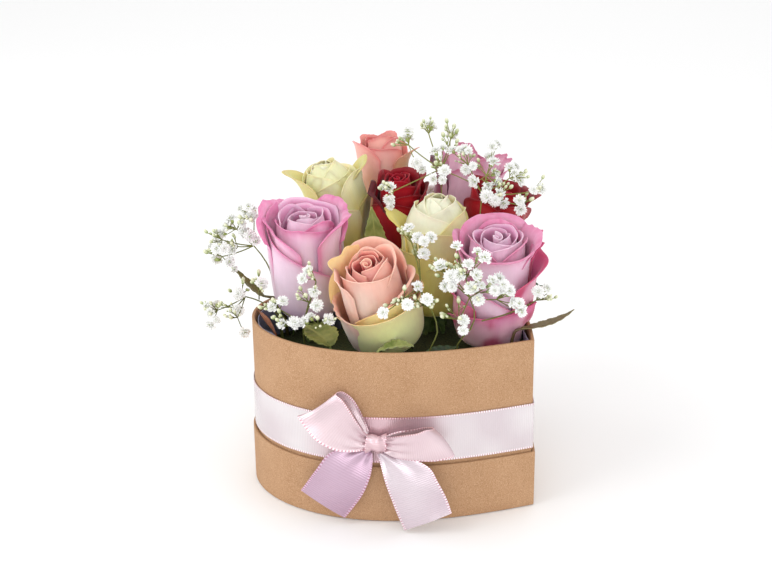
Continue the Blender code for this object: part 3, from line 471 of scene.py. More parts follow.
@dataclass(frozen=True)
class SatinFinish:
    """Pale pink satin: fine ribs across the ribbon, dotted woven edges, broad patches of painted shade and a
    silky shine.
    """

    face: Colour = srgb(231, 227, 228)
    # fold colours the rib lines and the broad patches of painted shade.
    fold: Colour = srgb(198, 181, 188)
    woven: Colour = srgb(252, 246, 248)
    seam: Colour = srgb(206, 172, 180)
    width: float = 0.025
    edge: float = 0.0012
    ribs_per_metre: float = 1000.0
    picots_per_metre: float = 780.0

    def build(self) -> bpy.types.Material:
        """Make the material."""
        recipe = Recipe("satin_ribbon", 0.24)
        place = recipe.place(by_uv=True)
        # Painted shade: broad soft patches turn towards the fold colour, standing in for the satin's light
        # and shade.
        wide = recipe.noise(30.0, place, 1.0)
        colour = recipe.mix(recipe.steps(wide, (0.36, 0.1), (0.64, 0.6)), self.face, self.fold)
        ribs = recipe.waves(place, self.ribs_per_metre)
        colour = recipe.mix(recipe.steps(ribs, (-1.0, 0.22), (1.0, 0.0)), colour, self.fold)
        picots = recipe.waves(place, self.picots_per_metre)
        half = self.width / 2
        off_middle = recipe.math("ABSOLUTE", recipe.math("SUBTRACT", recipe.split(place, "Y"), half))
        border = recipe.steps(off_middle, (half - self.edge, 0.0), (half - 0.75 * self.edge, 1.0))
        dots = recipe.mix(recipe.steps(picots, (-0.3, 0.0), (0.3, 1.0)), self.seam, self.woven)
        colour = recipe.mix(border, colour, dots)
        recipe.colour(recipe.mix(1.0, recipe.tint(), colour, "MULTIPLY"))
        threads = recipe.noise(1.0, recipe.place((400.0, 5200.0, 1.0), by_uv=True), 2.0)
        height = recipe.math("ADD", recipe.math("MULTIPLY", ribs, 0.8), threads)
        recipe.relief(recipe.math("ADD", height, recipe.math("MULTIPLY", border, 2.0)), 0.07, 0.40)
        recipe.constants(Metallic=0.55, Anisotropic=0.6, Specular_IOR_Level=0.8)
        return recipe.material


@dataclass(frozen=True)
class PlainFinish:
    """A mottled finish for film, foam, stems and leaves painted by their own tint."""

    name: str
    first: Colour
    second: Colour
    scale: float = 300.0
    roughness: float = 0.6
    depth: float = 0.1
    tinted: bool = False
    shine: float = 0.5

    def build(self) -> bpy.types.Material:
        """Make the material."""
        recipe = Recipe(self.name, self.roughness)
        cloud = recipe.noise(self.scale, recipe.place(), 5.0)
        colour = recipe.mix(recipe.steps(cloud, (0.35, 0.0), (0.65, 1.0)), self.first, self.second)
        if self.tinted:
            colour = recipe.mix(1.0, recipe.tint(), colour, "MULTIPLY")
        recipe.colour(colour)
        recipe.relief(cloud, self.depth, 0.6)
        recipe.constants(Specular_IOR_Level=self.shine)
        return recipe.material


@dataclass(frozen=True)
class PetalFinish:
    """Soft, faintly veined petals that let some light through."""

    name: str
    light: Colour = WHITE
    dark: Colour = (0.95, 0.92, 0.94, 1.0)
    glow: float = 0.32
    velvet: float = 0.20
    roughness: float = 0.55

    def build(self) -> bpy.types.Material:
        """Make the material."""
        recipe = Recipe(self.name, self.roughness)
        cloud = recipe.noise(260.0, recipe.place(), 4.0)
        veins = recipe.noise(1.0, recipe.place((46.0, 5.0, 1.0), by_uv=True), 3.0)
        shade = recipe.mix(recipe.steps(cloud, (0.35, 0.0), (0.7, 0.7)), self.light, self.dark)
        shade = recipe.mix(recipe.steps(veins, (0.45, 0.0), (0.72, 0.6)), shade, self.dark)
        recipe.colour(recipe.mix(1.0, recipe.tint(), shade, "MULTIPLY"))
        recipe.relief(recipe.math("ADD", veins, recipe.math("MULTIPLY", cloud, 0.4)), 0.35, 0.35)
        recipe.constants(Subsurface_Weight=self.glow, Subsurface_Scale=0.0035, Sheen_Weight=self.velvet,
                         Sheen_Roughness=0.4, Specular_IOR_Level=0.35)
        recipe.shader.inputs["Subsurface Radius"].default_value = (1.0, 0.55, 0.6)
        return recipe.material


# The heart outline.

@dataclass(frozen=True)
class Heart:
    """The box wall's outer outline, as radii along one half."""

    lobe_radius: float = 32.8
    flank_radius: float = 66.4
    flank_at: float = 0.33
    tip_radius: float = 900.0
    half_length: float = 196.7
    start_x: float = -61.8
    steps: int = 800
    notch_steps: int = 80
    run_on: int = 14

    def path(self) -> list[tuple[float, float, float]]:
        """Fine points and headings of the near half, run on past the notch and the tip."""
        ds = self.half_length / self.steps
        radii = ((0.0, self.lobe_radius), (self.flank_at, self.flank_radius), (1.0, self.tip_radius))
        bends = [(at, 1 / radius) for at, radius in radii]
        x, y, heading = self.start_x, 0.0, -math.pi / 2
        path = [(x, y, heading)]
        for i in range(self.steps):
            at = (i + 0.5) / self.steps
            low, high = (bends[0], bends[1]) if at < self.flank_at else (bends[1], bends[2])
            share = (at - low[0]) / (high[0] - low[0])
            turn = 0.5 * (low[1] + share * (high[1] - low[1])) * ds
            x += math.cos(heading + turn) * ds
            y += math.sin(heading + turn) * ds
            heading += 2 * turn
            path.append((x, y, heading))
        drop = path[-1][1]
        path = [(px, py - drop, turned) for px, py, turned in path]
        centre_x, centre_y = self.start_x + self.lobe_radius, path[0][1]
        sweep = math.asin(-centre_y / self.lobe_radius)
        back = []
        for i in range(1, self.notch_steps + 1):
            turn = sweep * i / self.notch_steps
            back.append((centre_x - self.lobe_radius * math.cos(turn),
                         centre_y + self.lobe_radius * math.sin(turn), -math.pi / 2 - turn))
        for (x, y, heading), way, kept in ((back[-1], -1, back), (path[-1], 1, path)):
            for i in range(1, self.run_on + 1):
                kept.append((x + way * i * math.cos(heading), y + way * i * math.sin(heading), heading))
        return back[::-1] + path

    def half(self, offset: float) -> list[list[float]]:
        """The near half of the moved outline, from the notch to the tip on the X axis."""
        moved = [(x + offset * math.sin(h), y - offset * math.cos(h), h) for x, y, h in self.path()]
        first = last = len(moved) // 2
        while moved[first][1] < 0.0:
            first -= 1
        while moved[last][1] < 0.0:
            last += 1
        kept = [list(p) for p in moved[first:last + 1]]
        for end, beside in ((0, 1), (-1, -2)):
            share = kept[beside][1] / (kept[beside][1] - kept[end][1])
            kept[end][0] = kept[beside][0] + share * (kept[end][0] - kept[beside][0])
            kept[end][1] = 0.0
        return kept

    def outline(self, offset: float, count: int) -> list[tuple[float, float]]:
        """The closed outline, its points evenly spaced.

        Args:
            offset: How far it is moved outwards.
            count: Points of each half, the ends included.

        Returns:
            Points in order, from the notch along the near half to the tip and back.
        """
        fine = self.half(offset)
        near = []
        for at, share in places_along(fine, (i / (count - 1) for i in range(count))):
            near.append(tuple(fine[at][k] + share * (fine[at + 1][k] - fine[at][k]) for k in (0, 1)))
        far = [(x, -y) for x, y in reversed(near[1:-1])]
        return near + far

    def taut(self, offset: float, count: int) -> list[Vector]:
        """The line of a taut band: it bridges the notch; evenly spaced and closed."""
        ordered = sorted(set(self.outline(offset, 240)))
        loop = []
        for items in (ordered, ordered[::-1]):
            kept = []
            for p in items:
                while len(kept) > 1:
                    a, b = kept[-2], kept[-1]
                    if (b[0] - a[0]) * (p[1] - a[1]) - (b[1] - a[1]) * (p[0] - a[0]) > 1e-6:
                        break
                    kept.pop()
                kept.append(p)
            loop += kept[:-1]
        loop.append(loop[0])
        places = places_along(loop, (i / count for i in range(count)))
        return [Vector(loop[at]).lerp(Vector(loop[at + 1]), share) for at, share in places]


HEART = Heart()


@dataclass(frozen=True)
class HeartBox:
    """Lid worn as a tray, box wall, floor, film and wet foam."""

    board: float = 1.5
    lid_clearance: float = 0.3
    lid_height: float = 30.3
    box_bottom: float = 1.8
    film_bottom: float = 3.6
    film_top: float = 89.5
    film: float = 0.4
    film_gap: float = 0.3
    film_points: int = 200
    film_rows: int = 22
    half_points: int = 170
    sharp: float = 50.0

    def ring(self, name: str, offset: float, height: float, fill: str) -> bpy.types.Object:
        """A ring of points laid on the heart, open or filled."""
        points = HEART.outline(offset, self.half_points)
        deselect()
        bpy.ops.mesh.primitive_circle_add(vertices=len(points), radius=1.0, fill_type=fill)
        ring = bpy.context.active_object
        ring.name = name
        for vert, (x, y) in zip(ring.data.vertices, points):
            vert.co = Vector((x, y, height)) * MM
        return ring

    def soften(self, board: bpy.types.Object, width: float) -> None:
        """Round the cut edges of a board."""
        apply_modifier(board, "BEVEL", width=width * MM, segments=2, limit_method="ANGLE",
                       angle_limit=math.radians(self.sharp))
        smooth(board)

    def wall(self, name: str, offset: float, bottom: float, top: float, rows: int) -> bpy.types.Object:
        """An upright wall: a ring laid on the heart, drawn up, given thickness and soft edges.

        Args:
            name: Name of the object.
            offset: Of its outer face from the box wall's outline.
            bottom: Height of its lower edge.
            top: Height of its upper edge.
            rows: Faces from the bottom to the top.

        Returns:
            The wall.
        """
        wall = self.ring(name, offset, bottom, "NOTHING")
        rise = (top - bottom) / rows * MM
        with editing(wall):
            for _ in range(rows):
                bpy.ops.mesh.extrude_region_move(TRANSFORM_OT_translate={"value": (0.0, 0.0, rise)})
        middle = wall.data.polygons[self.half_points]
        if middle.normal.dot(middle.center) < 0:
            wall.data.flip_normals()
        apply_modifier(wall, "SOLIDIFY", thickness=self.board * MM, offset=-1.0, use_even_offset=True)
        self.soften(wall, 0.35)
        return wall

    def panel(self, name: str) -> bpy.types.Object:
        """The lid's flat board under the box."""
        board = self.ring(name, 0.0, 0.0, "NGON")
        with editing(board):
            bpy.ops.mesh.extrude_region_move(TRANSFORM_OT_translate={"value": (0.0, 0.0, self.board * MM)})
        face_out(board)
        self.soften(board, 0.2)
        return board

    def film_sheet(self, name: str) -> bpy.types.Object:
        """The dark film inside the wall, creased where it stands free above the foam."""
        points = HEART.outline(-self.board - self.film_gap, self.film_points)
        inward = []
        for i, (x, y) in enumerate(points):
            before, after = points[i - 1], points[(i + 1) % len(points)]
            run = Vector((after[0] - before[0], after[1] - before[1], 0.0)).normalized()
            inward.append(Vector((-run.y, run.x, 0.0)))
        count = len(points)

        def place(u: float, v: float) -> Vector:
            """A point of the film."""
            i = round(u * count) % count
            height = self.film_bottom + v * (self.film_top - self.film_bottom)
            free = ramp(height, FOAM_TOP + 1.5, self.film_top)
            spot = Vector((points[i][0], points[i][1], height))
            crease = noise.noise(Vector((spot.x * 0.11, spot.y * 0.11, height * 0.05)))
            fine = abs(noise.noise(Vector((spot.x * 0.3, spot.y * 0.3, height * 0.12 + 7.0))))
            return spot + inward[i] * (free * (1.2 + 1.6 * crease + 0.6 * fine))

        film = grid_sheet(name, count, self.film_rows, place)
        merge_seams(film)
        thicken(film, self.film)
        face_out(film)
        smooth(film, 40)
        return film

    def build(self, kraft: bpy.types.Material, film: bpy.types.Material, foam: bpy.types.Material) -> None:
        """Make the boards and the film, and dress the floor and the foam.

        Args:
            kraft: Board material.
            film: Film material.
            foam: Foam material.
        """
        lid_face = self.lid_clearance + self.board
        rim = self.wall("lid_rim_board", lid_face, 0.0, self.lid_height, 6)
        finish_piece(rim, "lid_rim", "kraft_board", kraft)
        wall = self.wall("box_wall_board", 0.0, self.box_bottom, RIM_TOP, 14)
        finish_piece(wall, "box_wall", "kraft_board", kraft)
        finish_piece(self.panel("lid_panel_board"), "lid_panel", "kraft_board", kraft)
        finish_piece(self.film_sheet("film_sheet"), "film_liner", "dark_film", film)
        for node, finish in (("box_floor", kraft), ("foam_block", foam)):
            dress(bpy.data.objects[node], finish)
            LOG.info("%s: CAD node, dressed", node)


# Ribbon and bow.

# Painted shade on the one pale satin: the loops, the knot with the band beside it, and the tails each take a
# tint for the light they get.
LOOP_PAINTED_SHADE, KNOT_PAINTED_SHADE, TAIL_PAINTED_SHADE = srgb(254, 236, 240), srgb(252, 224, 229), srgb(222, 196, 216)

# Rows of (along, out, up, half width along, out, up) from the knot's place on the band.
LEFT_LOOP = (
    (-4.8, 4.9, 1.1, 0.0, 0.0, 4.3),
    (-8.5, 8.2, 3.5, 2.2, 0.4, 6.4),
    (-14.0, 11.4, 7.7, 5.2, 0.8, 8.8),
    (-19.8, 12.0, 13.0, 8.0, 0.6, 9.3),
    (-24.5, 10.0, 18.0, 9.2, 0.0, 8.0),
    (-28.5, 6.2, 21.0, 9.6, 0.0, 6.2),
    (-25.0, 2.8, 19.0, 9.0, 0.0, 8.0),
    (-19.8, 1.6, 14.2, 8.0, 0.0, 9.2),
    (-14.0, 1.2, 9.0, 5.6, 0.0, 8.8),
    (-8.5, 1.6, 4.4, 3.0, 0.0, 6.2),
    (-4.8, 2.4, 1.8, 1.0, 0.0, 4.0),
)
RIGHT_LOOP = (
    (4.8, 5.2, -0.3, 0.0, 0.4, 4.2),
    (9.6, 8.4, 0.6, 0.4, 1.6, 6.4),
    (15.6, 10.8, 1.8, 0.2, 2.4, 7.9),
    (22.0, 11.4, 2.6, -0.8, 2.2, 8.6),
    (27.6, 10.6, 3.2, -2.6, 1.2, 8.8),
    (32.6, 8.0, 3.2, -4.8, 0.2, 7.6),
    (33.2, 4.8, 2.6, -5.0, -0.6, 7.0),
    (27.0, 2.6, 0.8, -2.4, -0.4, 8.0),
    (19.0, 1.8, -0.6, -0.4, 0.0, 8.0),
    (10.2, 1.8, -0.8, 0.0, 0.0, 6.6),
    (4.8, 2.6, -0.3, 0.0, 0.0, 4.2),
)
LEFT_TAIL = (
    (-3.5, 2.6, -4.4, 1.4, 0.0, -1.6),
    (-8.0, 4.2, -6.6, 6.2, 0.2, -3.2),
    (-13.0, 5.4, -11.2, 10.2, 0.6, -5.6),
    (-18.2, 5.8, -20.5, 12.0, 1.0, -5.4),
    (-22.6, 5.2, -27.6, 11.8, 1.0, -6.0),
    (-27.2, 4.4, -34.4, 11.2, 1.0, -6.8),
)
RIGHT_TAIL = (
    (2.8, 4.2, -5.0, 2.0, 0.2, 1.0),
    (9.0, 6.8, -7.8, 6.4, 0.6, 3.0),
    (15.6, 9.0, -13.8, 10.8, 0.8, 4.8),
    (19.4, 10.2, -21.8, 11.6, 0.6, 5.4),
    (23.2, 10.9, -30.6, 12.2, 0.2, 5.2),
    (26.2, 11.2, -38.5, 11.8, 0.2, 5.4),
)


@dataclass(frozen=True)
class Strap:
    """One loop or tail of the bow: rows, the cut's length, pleats, how it is held and its painted shade."""

    node: str
    rows: tuple
    pleats: float
    belly: float
    held: str
    shade: Colour

    @property
    def length(self) -> float:
        """Length of its middle line."""
        line = [Vector(spline(self.rows, i / 96)[0][:3]) for i in range(97)]
        return sum((b - a).length for a, b in zip(line, line[1:]))


@dataclass(frozen=True)
class Ribbon:
    """A taut satin band round the box and a bow with two loops and two tails."""

    width: float = 25.0
    bottom: float = 32.3
    thick: float = 0.4
    clearance: float = 0.35
    bow_x: float = 30.4
    knot_height: float = 45.0
    knot_half_height: float = 5.3
    knot_half_depth: float = 3.0
    knot_half_length: float = 5.4
    knot_girth: float = 26.0
    picots: int = 330
    picot_height: float = 0.35
    band_points: int = 1320
    strap_grid: tuple[int, int] = (72, 20)
    gathered_to: float = 0.62
    pleat_depth: float = 0.85
    straps: tuple[Strap, ...] = (
        Strap("bow_loop_left", LEFT_LOOP, 3.0, 1.2, "gathered", LOOP_PAINTED_SHADE),
        Strap("bow_loop_right", RIGHT_LOOP, 3.0, 1.0, "gathered", LOOP_PAINTED_SHADE),
        Strap("bow_tail_left", LEFT_TAIL, 2.0, 0.8, "hung", TAIL_PAINTED_SHADE),
        # The right tail's painted shade is lighter than the left tail's.
        Strap("bow_tail_right", RIGHT_TAIL, 2.0, 1.0, "hung", blend(WHITE, TAIL_PAINTED_SHADE, 0.35)),
    )

    def frame(self) -> tuple[Vector, Vector, Vector]:
        """The knot's place on the band and the directions along and out."""
        fine = HEART.half(0.0)
        x, y, heading = min(fine, key=lambda p: abs(p[0] - self.bow_x) - p[2])
        out = Vector((math.sin(heading), -math.cos(heading), 0.0))
        along = Vector((math.cos(heading), math.sin(heading), 0.0))
        return Vector((x, y, self.knot_height)) + out * 0.9, along, out

    def metre_uv(self, piece: bpy.types.Object, length: float, width: float) -> None:
        """Stretch the UV map to real metres."""
        uv = piece.data.uv_layers.active.data
        flat = np.empty(len(uv) * 2, dtype=np.float32)
        uv.foreach_get("uv", flat)
        flat = flat.reshape(-1, 2) * np.array([length * MM, width * MM], dtype=np.float32)
        uv.foreach_set("uv", flat.ravel())

    def band(self) -> bpy.types.Object:
        """The band, with small picot loops along both edges and painted shade near the knot."""
        line = HEART.taut(self.clearance, self.band_points)
        count = len(line)
        rows = (0.0, 0.012, 0.035, 0.10, 0.30, 0.50, 0.70, 0.90, 0.965, 0.988, 1.0)
        steps = len(rows) - 1

        def place(u: float, v: float) -> Vector:
            """A point of the band."""
            i = round(u * count) % count
            share = rows[round(v * steps)]
            scallop = self.picot_height * abs(math.sin(math.pi * self.picots * i / count))
            height = self.bottom + share * self.width
            if share in (0.0, 1.0):
                height += (scallop - self.picot_height) * (1 if share else -1)
            return Vector((line[i].x, line[i].y, height))

        band = grid_sheet("ribbon_band_satin", count, steps, place)
        merge_seams(band)
        if band.data.polygons[0].normal.dot(band.data.polygons[0].center) < 0:
            band.data.flip_normals()
        perimeter = sum((a - b).length for a, b in zip(line, line[1:] + line[:1]))
        self.metre_uv(band, perimeter, self.width)
        uv = band.data.uv_layers.active.data
        for loop in band.data.loops:
            uv[loop.index].uv.y = band.data.vertices[loop.vertex_index].co.z - self.bottom * MM
        # Painted shade: the band is tinted pinker near the knot and turns white away from it.
        knot = self.frame()[0]
        away = [(vert.co / MM - knot).length for vert in band.data.vertices]
        paint(band, "tint", [blend(KNOT_PAINTED_SHADE, WHITE, ramp(far, 12.0, 44.0)) for far in away])
        apply_modifier(band, "SOLIDIFY", thickness=self.thick * MM, offset=1.0)
        smooth(band)
        return band

    def strap(self, plan: Strap) -> bpy.types.Object:
        """One loop or tail, pleated at the knot and bellied where it is free.

        Args:
            plan: Its rows and folds.

        Returns:
            The cloth piece.
        """
        knot, along, out = self.frame()
        loop = len(plan.rows) > 6
        length = plan.length

        def place(u: float, v: float) -> Vector:
            """A point of the strap, u along it and v across."""
            (a, b, c, ha, hb, hc), change = spline(plan.rows, u)
            side = along * ha + out * hb + UP * hc
            run = along * change[0] + out * change[1] + UP * change[2]
            normal = run.cross(side).normalized()
            across = 2.0 * v - 1.0
            near = min(u, 1.0 - u) * 2.0 if loop else u
            gather = 1.0 - ramp(near, 0.0, self.gathered_to)
            pleat = math.cos(math.pi * plan.pleats * (across + 0.15)) * gather * self.pleat_depth
            crown = plan.belly * (1.0 - across * across) * (1.0 - gather)
            wave = 0.5 * noise.noise(Vector((u * 4.0, v * 1.6, length))) * (1.0 - gather)
            return knot + along * a + out * b + UP * c + side * across + normal * (pleat + crown + wave)

        sheet = grid_sheet(plan.node + "_satin", *self.strap_grid, place)
        self.metre_uv(sheet, length, self.width)
        # Painted shade: one tint over the whole strap, for the light it gets.
        paint(sheet, "tint", [plan.shade] * len(sheet.data.vertices))
        apply_modifier(sheet, "SOLIDIFY", thickness=self.thick * MM, offset=0.0)
        smooth(sheet)
        return sheet

    def knot(self) -> bpy.types.Object:
        """The pleated strip wrapped round the middle of the bow."""
        place_of, along, out = self.frame()

        def place(u: float, v: float) -> Vector:
            """A point of the wrapped strip, u round it and v across."""
            turn = 2.0 * math.pi * u
            across = 2.0 * v - 1.0
            pinch = 1.0 - 0.20 * (1.0 - across * across)
            pleat = 0.34 * math.cos(math.pi * (1.7 * across + 0.9 * math.sin(turn + 0.6)))
            high = (self.knot_half_height * pinch + pleat) * math.sin(turn)
            deep = self.knot_half_depth + 0.5 + (self.knot_half_depth * pinch + pleat) * math.cos(turn)
            wide = self.knot_half_length * across * (1.0 - 0.10 * abs(math.sin(turn)))
            return place_of + along * (wide + 0.5 * math.sin(turn)) + UP * high + out * deep

        knot = grid_sheet("bow_knot_satin", 48, 24, place)
        merge_seams(knot)
        with editing(knot):
            bpy.ops.mesh.select_all(action="DESELECT")
            bpy.ops.mesh.select_non_manifold()
            bpy.ops.mesh.fill_holes(sides=0)
        face_out(knot)
        self.metre_uv(knot, self.knot_girth, self.width)
        # Painted shade: the knot takes the pinker tint of the band beside it.
        paint(knot, "tint", [KNOT_PAINTED_SHADE] * len(knot.data.vertices))
        smooth(knot, 60)
        return knot

    def build(self, satin: bpy.types.Material) -> None:
        """Make the band, the knot, the loops and the tails."""
        finish_piece(self.knot(), "bow_knot", "satin_ribbon", satin)
        finish_piece(self.band(), "ribbon_band", "satin_ribbon", satin)
        for plan in self.straps:
            finish_piece(self.strap(plan), plan.node, "satin_ribbon", satin)


# Roses.

class Form(Enum):
    """How the middle of a bloom is closed."""

    CUP = "cup"
    DOME = "dome"


class ToneSet(Enum):
    """Which of a bloom's colour sets a petal takes; each set holds some painted shade."""

    HEART = "heart"
    OUTER = "outer"
    GUARD = "guard"


@dataclass(frozen=True)
class Tones:
    """Colours of a petal: its outside from foot to top, its rim and its inside."""

    # foot and inside are mostly darker than body and top: partly the petal's own colour, partly painted
    # shade low in the bloom and deep inside it.
    foot: Colour
    body: Colour
    top: Colour
    # rim: on the heart's petals mostly lighter, partly a painted highlight on their crests.
    rim: Colour
    inside: Colour
    rim_width: float = 0.05
    rim_strength: float = 0.7
    blotch: float = 0.0


@dataclass(frozen=True)
class Petal:
    """One listed petal, seen from the photograph's side.

    turn is in degrees from the viewer's side, to the right when positive; half is half its
    width in degrees; height and reach are its rim's, as shares of the bloom, and layer is how far
    out it stands from 0 to 1; roll is how far its rim turns back in radians, over a lip that is a
    share of its length. wave and frill are how much the rim sways and ruffles; point and drop
    lower its sides, to a tip or in a round. twist turns the petal on its way up, in degrees; slope
    tilts its rim, spiral sets one side further out, shift moves it aside and hug pulls its sides in.
    """

    turn: float
    half: float
    height: float
    reach: float
    layer: float
    roll: float = 1.8
    lip: float = 0.13
    wave: float = 0.5
    point: float = 0.04
    drop: float = 0.20
    frill: float = 0.0
    twist: float = 0.0
    slope: float = 0.0
    spiral: float = 0.022
    shift: float = 0.0
    hug: float = 0.05
    tone_set: ToneSet = ToneSet.OUTER


@dataclass(frozen=True)
class Bloom:
    """One rose, from the middle of its foot to the middle of its mouth.

    inner is how many petals stand between the coil and the listed ones, out to core as a
    share of the radius; seed is the coil's start in radians.
    """

    node: str
    slot: str
    mouth: Place
    foot: Place
    hole: tuple[float, float]
    radius: float
    form: Form
    tones: dict[ToneSet, Tones]
    petals: tuple[Petal, ...]
    inner: int = 5
    core: float = 0.42
    seed: float = 0.0
    velvet: float = 0.25

    @property
    def axis(self) -> Vector:
        """Direction from foot to mouth."""
        return (Vector(self.mouth) - Vector(self.foot)).normalized()

    @property
    def height(self) -> float:
        """Length from foot to mouth."""
        return (Vector(self.mouth) - Vector(self.foot)).length

    @property
    def belly(self) -> Vector:
        """Where the bloom is widest."""
        return Vector(self.foot).lerp(Vector(self.mouth), 0.62)

    def frame(self) -> tuple[Vector, Vector]:
        """Directions across the axis, to the viewer and to the right."""
        toward = (TO_VIEWER - self.axis * TO_VIEWER.dot(self.axis)).normalized()
        return toward, self.axis.cross(toward)


BELLY_LADDER = ((0.0, 0.33), (0.15, 0.72), (0.46, 0.92), (0.80, 0.96), (0.92, 1.04), (1.2, 1.12))


def outer_share(height_share: float) -> float:
    """How far the widest petals reach at a height, as a share of the bloom's radius."""
    for (low, a), (high, b) in zip(BELLY_LADDER, BELLY_LADDER[1:]):
        if height_share <= high:
            return a + (b - a) * (height_share - low) / (high - low)
    return BELLY_LADDER[-1][1]


class BloomBuilder:
    """Builds one bloom's petals between its neighbours."""

    petal_thick: float = 0.35
    inside_film: float = -4.6
    far_off: float = 100.0
    rim_zone: float = 8.0
    flare: float = 2.0
    neighbour_range: float = 2.4
    neighbour_gap: float = 0.3
    least_squeeze: float = 0.25
    roll_steps: int = 6
    coil_turns: float = 1.35
    golden_angle: float = 137.5
    coil_grid: tuple[int, int] = (72, 16)
    inner_grid: tuple[int, int] = (22, 16)
    outer_grid: tuple[int, int] = (26, 22)

    def __init__(self, bloom: Bloom, others: Sequence[Bloom]) -> None:
        """Find the planes that part the bloom from its neighbours, and the box's inside."""
        self.bloom = bloom
        ring = [Vector(place) for place in HEART.outline(self.inside_film, 60)]
        self.film = list(zip(ring, ring[1:] + ring[:1]))
        self.toward, self.right = bloom.frame()
        self.planes = []
        for other in others:
            if other is bloom:
                continue
            apart = other.belly - bloom.belly
            distance = apart.length
            if distance > self.neighbour_range * (bloom.radius + other.radius):
                continue
            share = (distance ** 2 + bloom.radius ** 2 - other.radius ** 2) / (2 * distance)
            normal = apart / distance
            self.planes.append((normal, normal.dot(bloom.belly) + share - self.neighbour_gap))

    def point(self, radius: float, turn: float, rise: float) -> Vector:
        """A point of the bloom, pressed in where a neighbour stands.

        Args:
            radius: From the axis.
            turn: Radians from the viewer's side.
            rise: Up the axis from the foot.

        Returns:
            The point.
        """
        bloom = self.bloom
        out = self.toward * math.cos(turn) + self.right * math.sin(turn)
        middle = Vector(bloom.foot) + bloom.axis * rise
        widest = bloom.radius * outer_share(max(rise, 0.0) / bloom.height)
        squeeze = 1.0
        for normal, limit in self.planes:
            lean = normal.dot(out)
            if lean > 0.02:
                room = (limit - normal.dot(middle)) / lean
                squeeze = min(squeeze, max(room / widest, self.least_squeeze))
        reach = radius * squeeze
        over = middle.z + out.z * reach - RIM_TOP - 0.5
        if over < self.rim_zone:
            reach = min(reach, self.room_in_box(middle, out) + self.flare * max(over, 0.0))
        return middle + out * reach

    def room_in_box(self, middle: Vector, out: Vector) -> float:
        """How far it is from a place on the axis to the film, along a direction."""
        far = middle.xy + out.xy * self.far_off
        hits = [intersect_line_line_2d(middle.xy, far, a, b) for a, b in self.film]
        return min(((hit - middle.xy).length / out.xy.length for hit in hits if hit), default=self.far_off)

    def bent(self, petal: Petal, across: float, share: float) -> tuple[float, float]:
        """Radius and rise on a petal, its rim turned back.

        Args:
            petal: The petal's plan.
            across: From -1 to 1.
            share: From foot to rim, 0 to 1.

        Returns:
            Radius and rise in millimetres.
        """
        bloom, layer = self.bloom, petal.layer
        profile = (
            (0.05 + 0.28 * layer, 0.03),
            (0.28 + 0.45 * layer, 0.13 * petal.height),
            (0.32 + 0.51 * layer, 0.46 * petal.height),
            (0.25 + 0.61 * layer, 0.80 * petal.height),
            (petal.reach, petal.height),
        )
        edge = abs(across)
        reached = 1.0 - petal.drop * edge ** 2.4 - petal.point * edge ** 0.8
        at = share * reached
        start = reached - petal.lip * (1.0 - 0.35 * edge ** 2)
        (r, z), _ = spline(profile, min(at, start))
        r, z = r * bloom.radius, z * bloom.height
        if at > start:
            _, (dr, dz) = spline(profile, start)
            sections = len(profile) - 1
            tr, tz = dr * bloom.radius * sections, dz * bloom.height * sections
            speed = math.hypot(tr, tz)
            tr, tz = tr / speed, tz / speed
            turned = petal.roll * (1.0 - 0.35 * edge ** 2)
            gone = (at - start) / (reached - start)
            pace = (at - start) * speed / self.roll_steps
            for step in range(self.roll_steps):
                angle = turned * (gone * (step + 0.5) / self.roll_steps) ** 1.5
                r += pace * (math.cos(angle) * tr + math.sin(angle) * tz)
                z += pace * (math.cos(angle) * tz - math.sin(angle) * tr)
        return r, z

    def tint(self, petal: Petal, across: float, share: float, spot: Vector) -> tuple[Colour, Colour]:
        """Outside and inside colours of a petal at a place."""
        tones = self.bloom.tones[petal.tone_set]
        cloud = noise.noise(spot * 0.07)
        streak = noise.noise(Vector((across * 7.0, share * 1.2, petal.turn)))
        outside = blend(tones.foot, tones.body, ramp(share + 0.10 * cloud, 0.10, 0.50))
        outside = blend(outside, tones.top, ramp(share + 0.08 * streak + 0.10 * cloud, 0.50, 0.95))
        # The inside face mostly takes the inside colour, partly painted shade for the hollow of the bloom.
        inside = blend(tones.top, tones.inside, 0.75 + 0.3 * cloud)
        near = min((1.0 - share) / tones.rim_width, (1.0 - abs(across)) / (1.4 * tones.rim_width))
        edge = math.exp(-near * near) * (tones.rim_strength + 0.3 * streak) * ramp(share, 0.40, 0.85)
        stain = tones.blotch * ramp(noise.noise(spot * 0.075), 0.0, 0.38)
        outside = blend(outside, tones.rim, max(stain, 0.0))
        return blend(outside, tones.rim, edge), blend(inside, tones.rim, edge)

    def blade(self, petal: Petal, columns: int, rows: int) -> bpy.types.Object:
        """One petal as a painted sheet.

        Args:
            petal: Its plan.
            columns: Faces across.
            rows: Faces along.

        Returns:
            The sheet.
        """
        bloom = self.bloom
        tints, linings = [], []

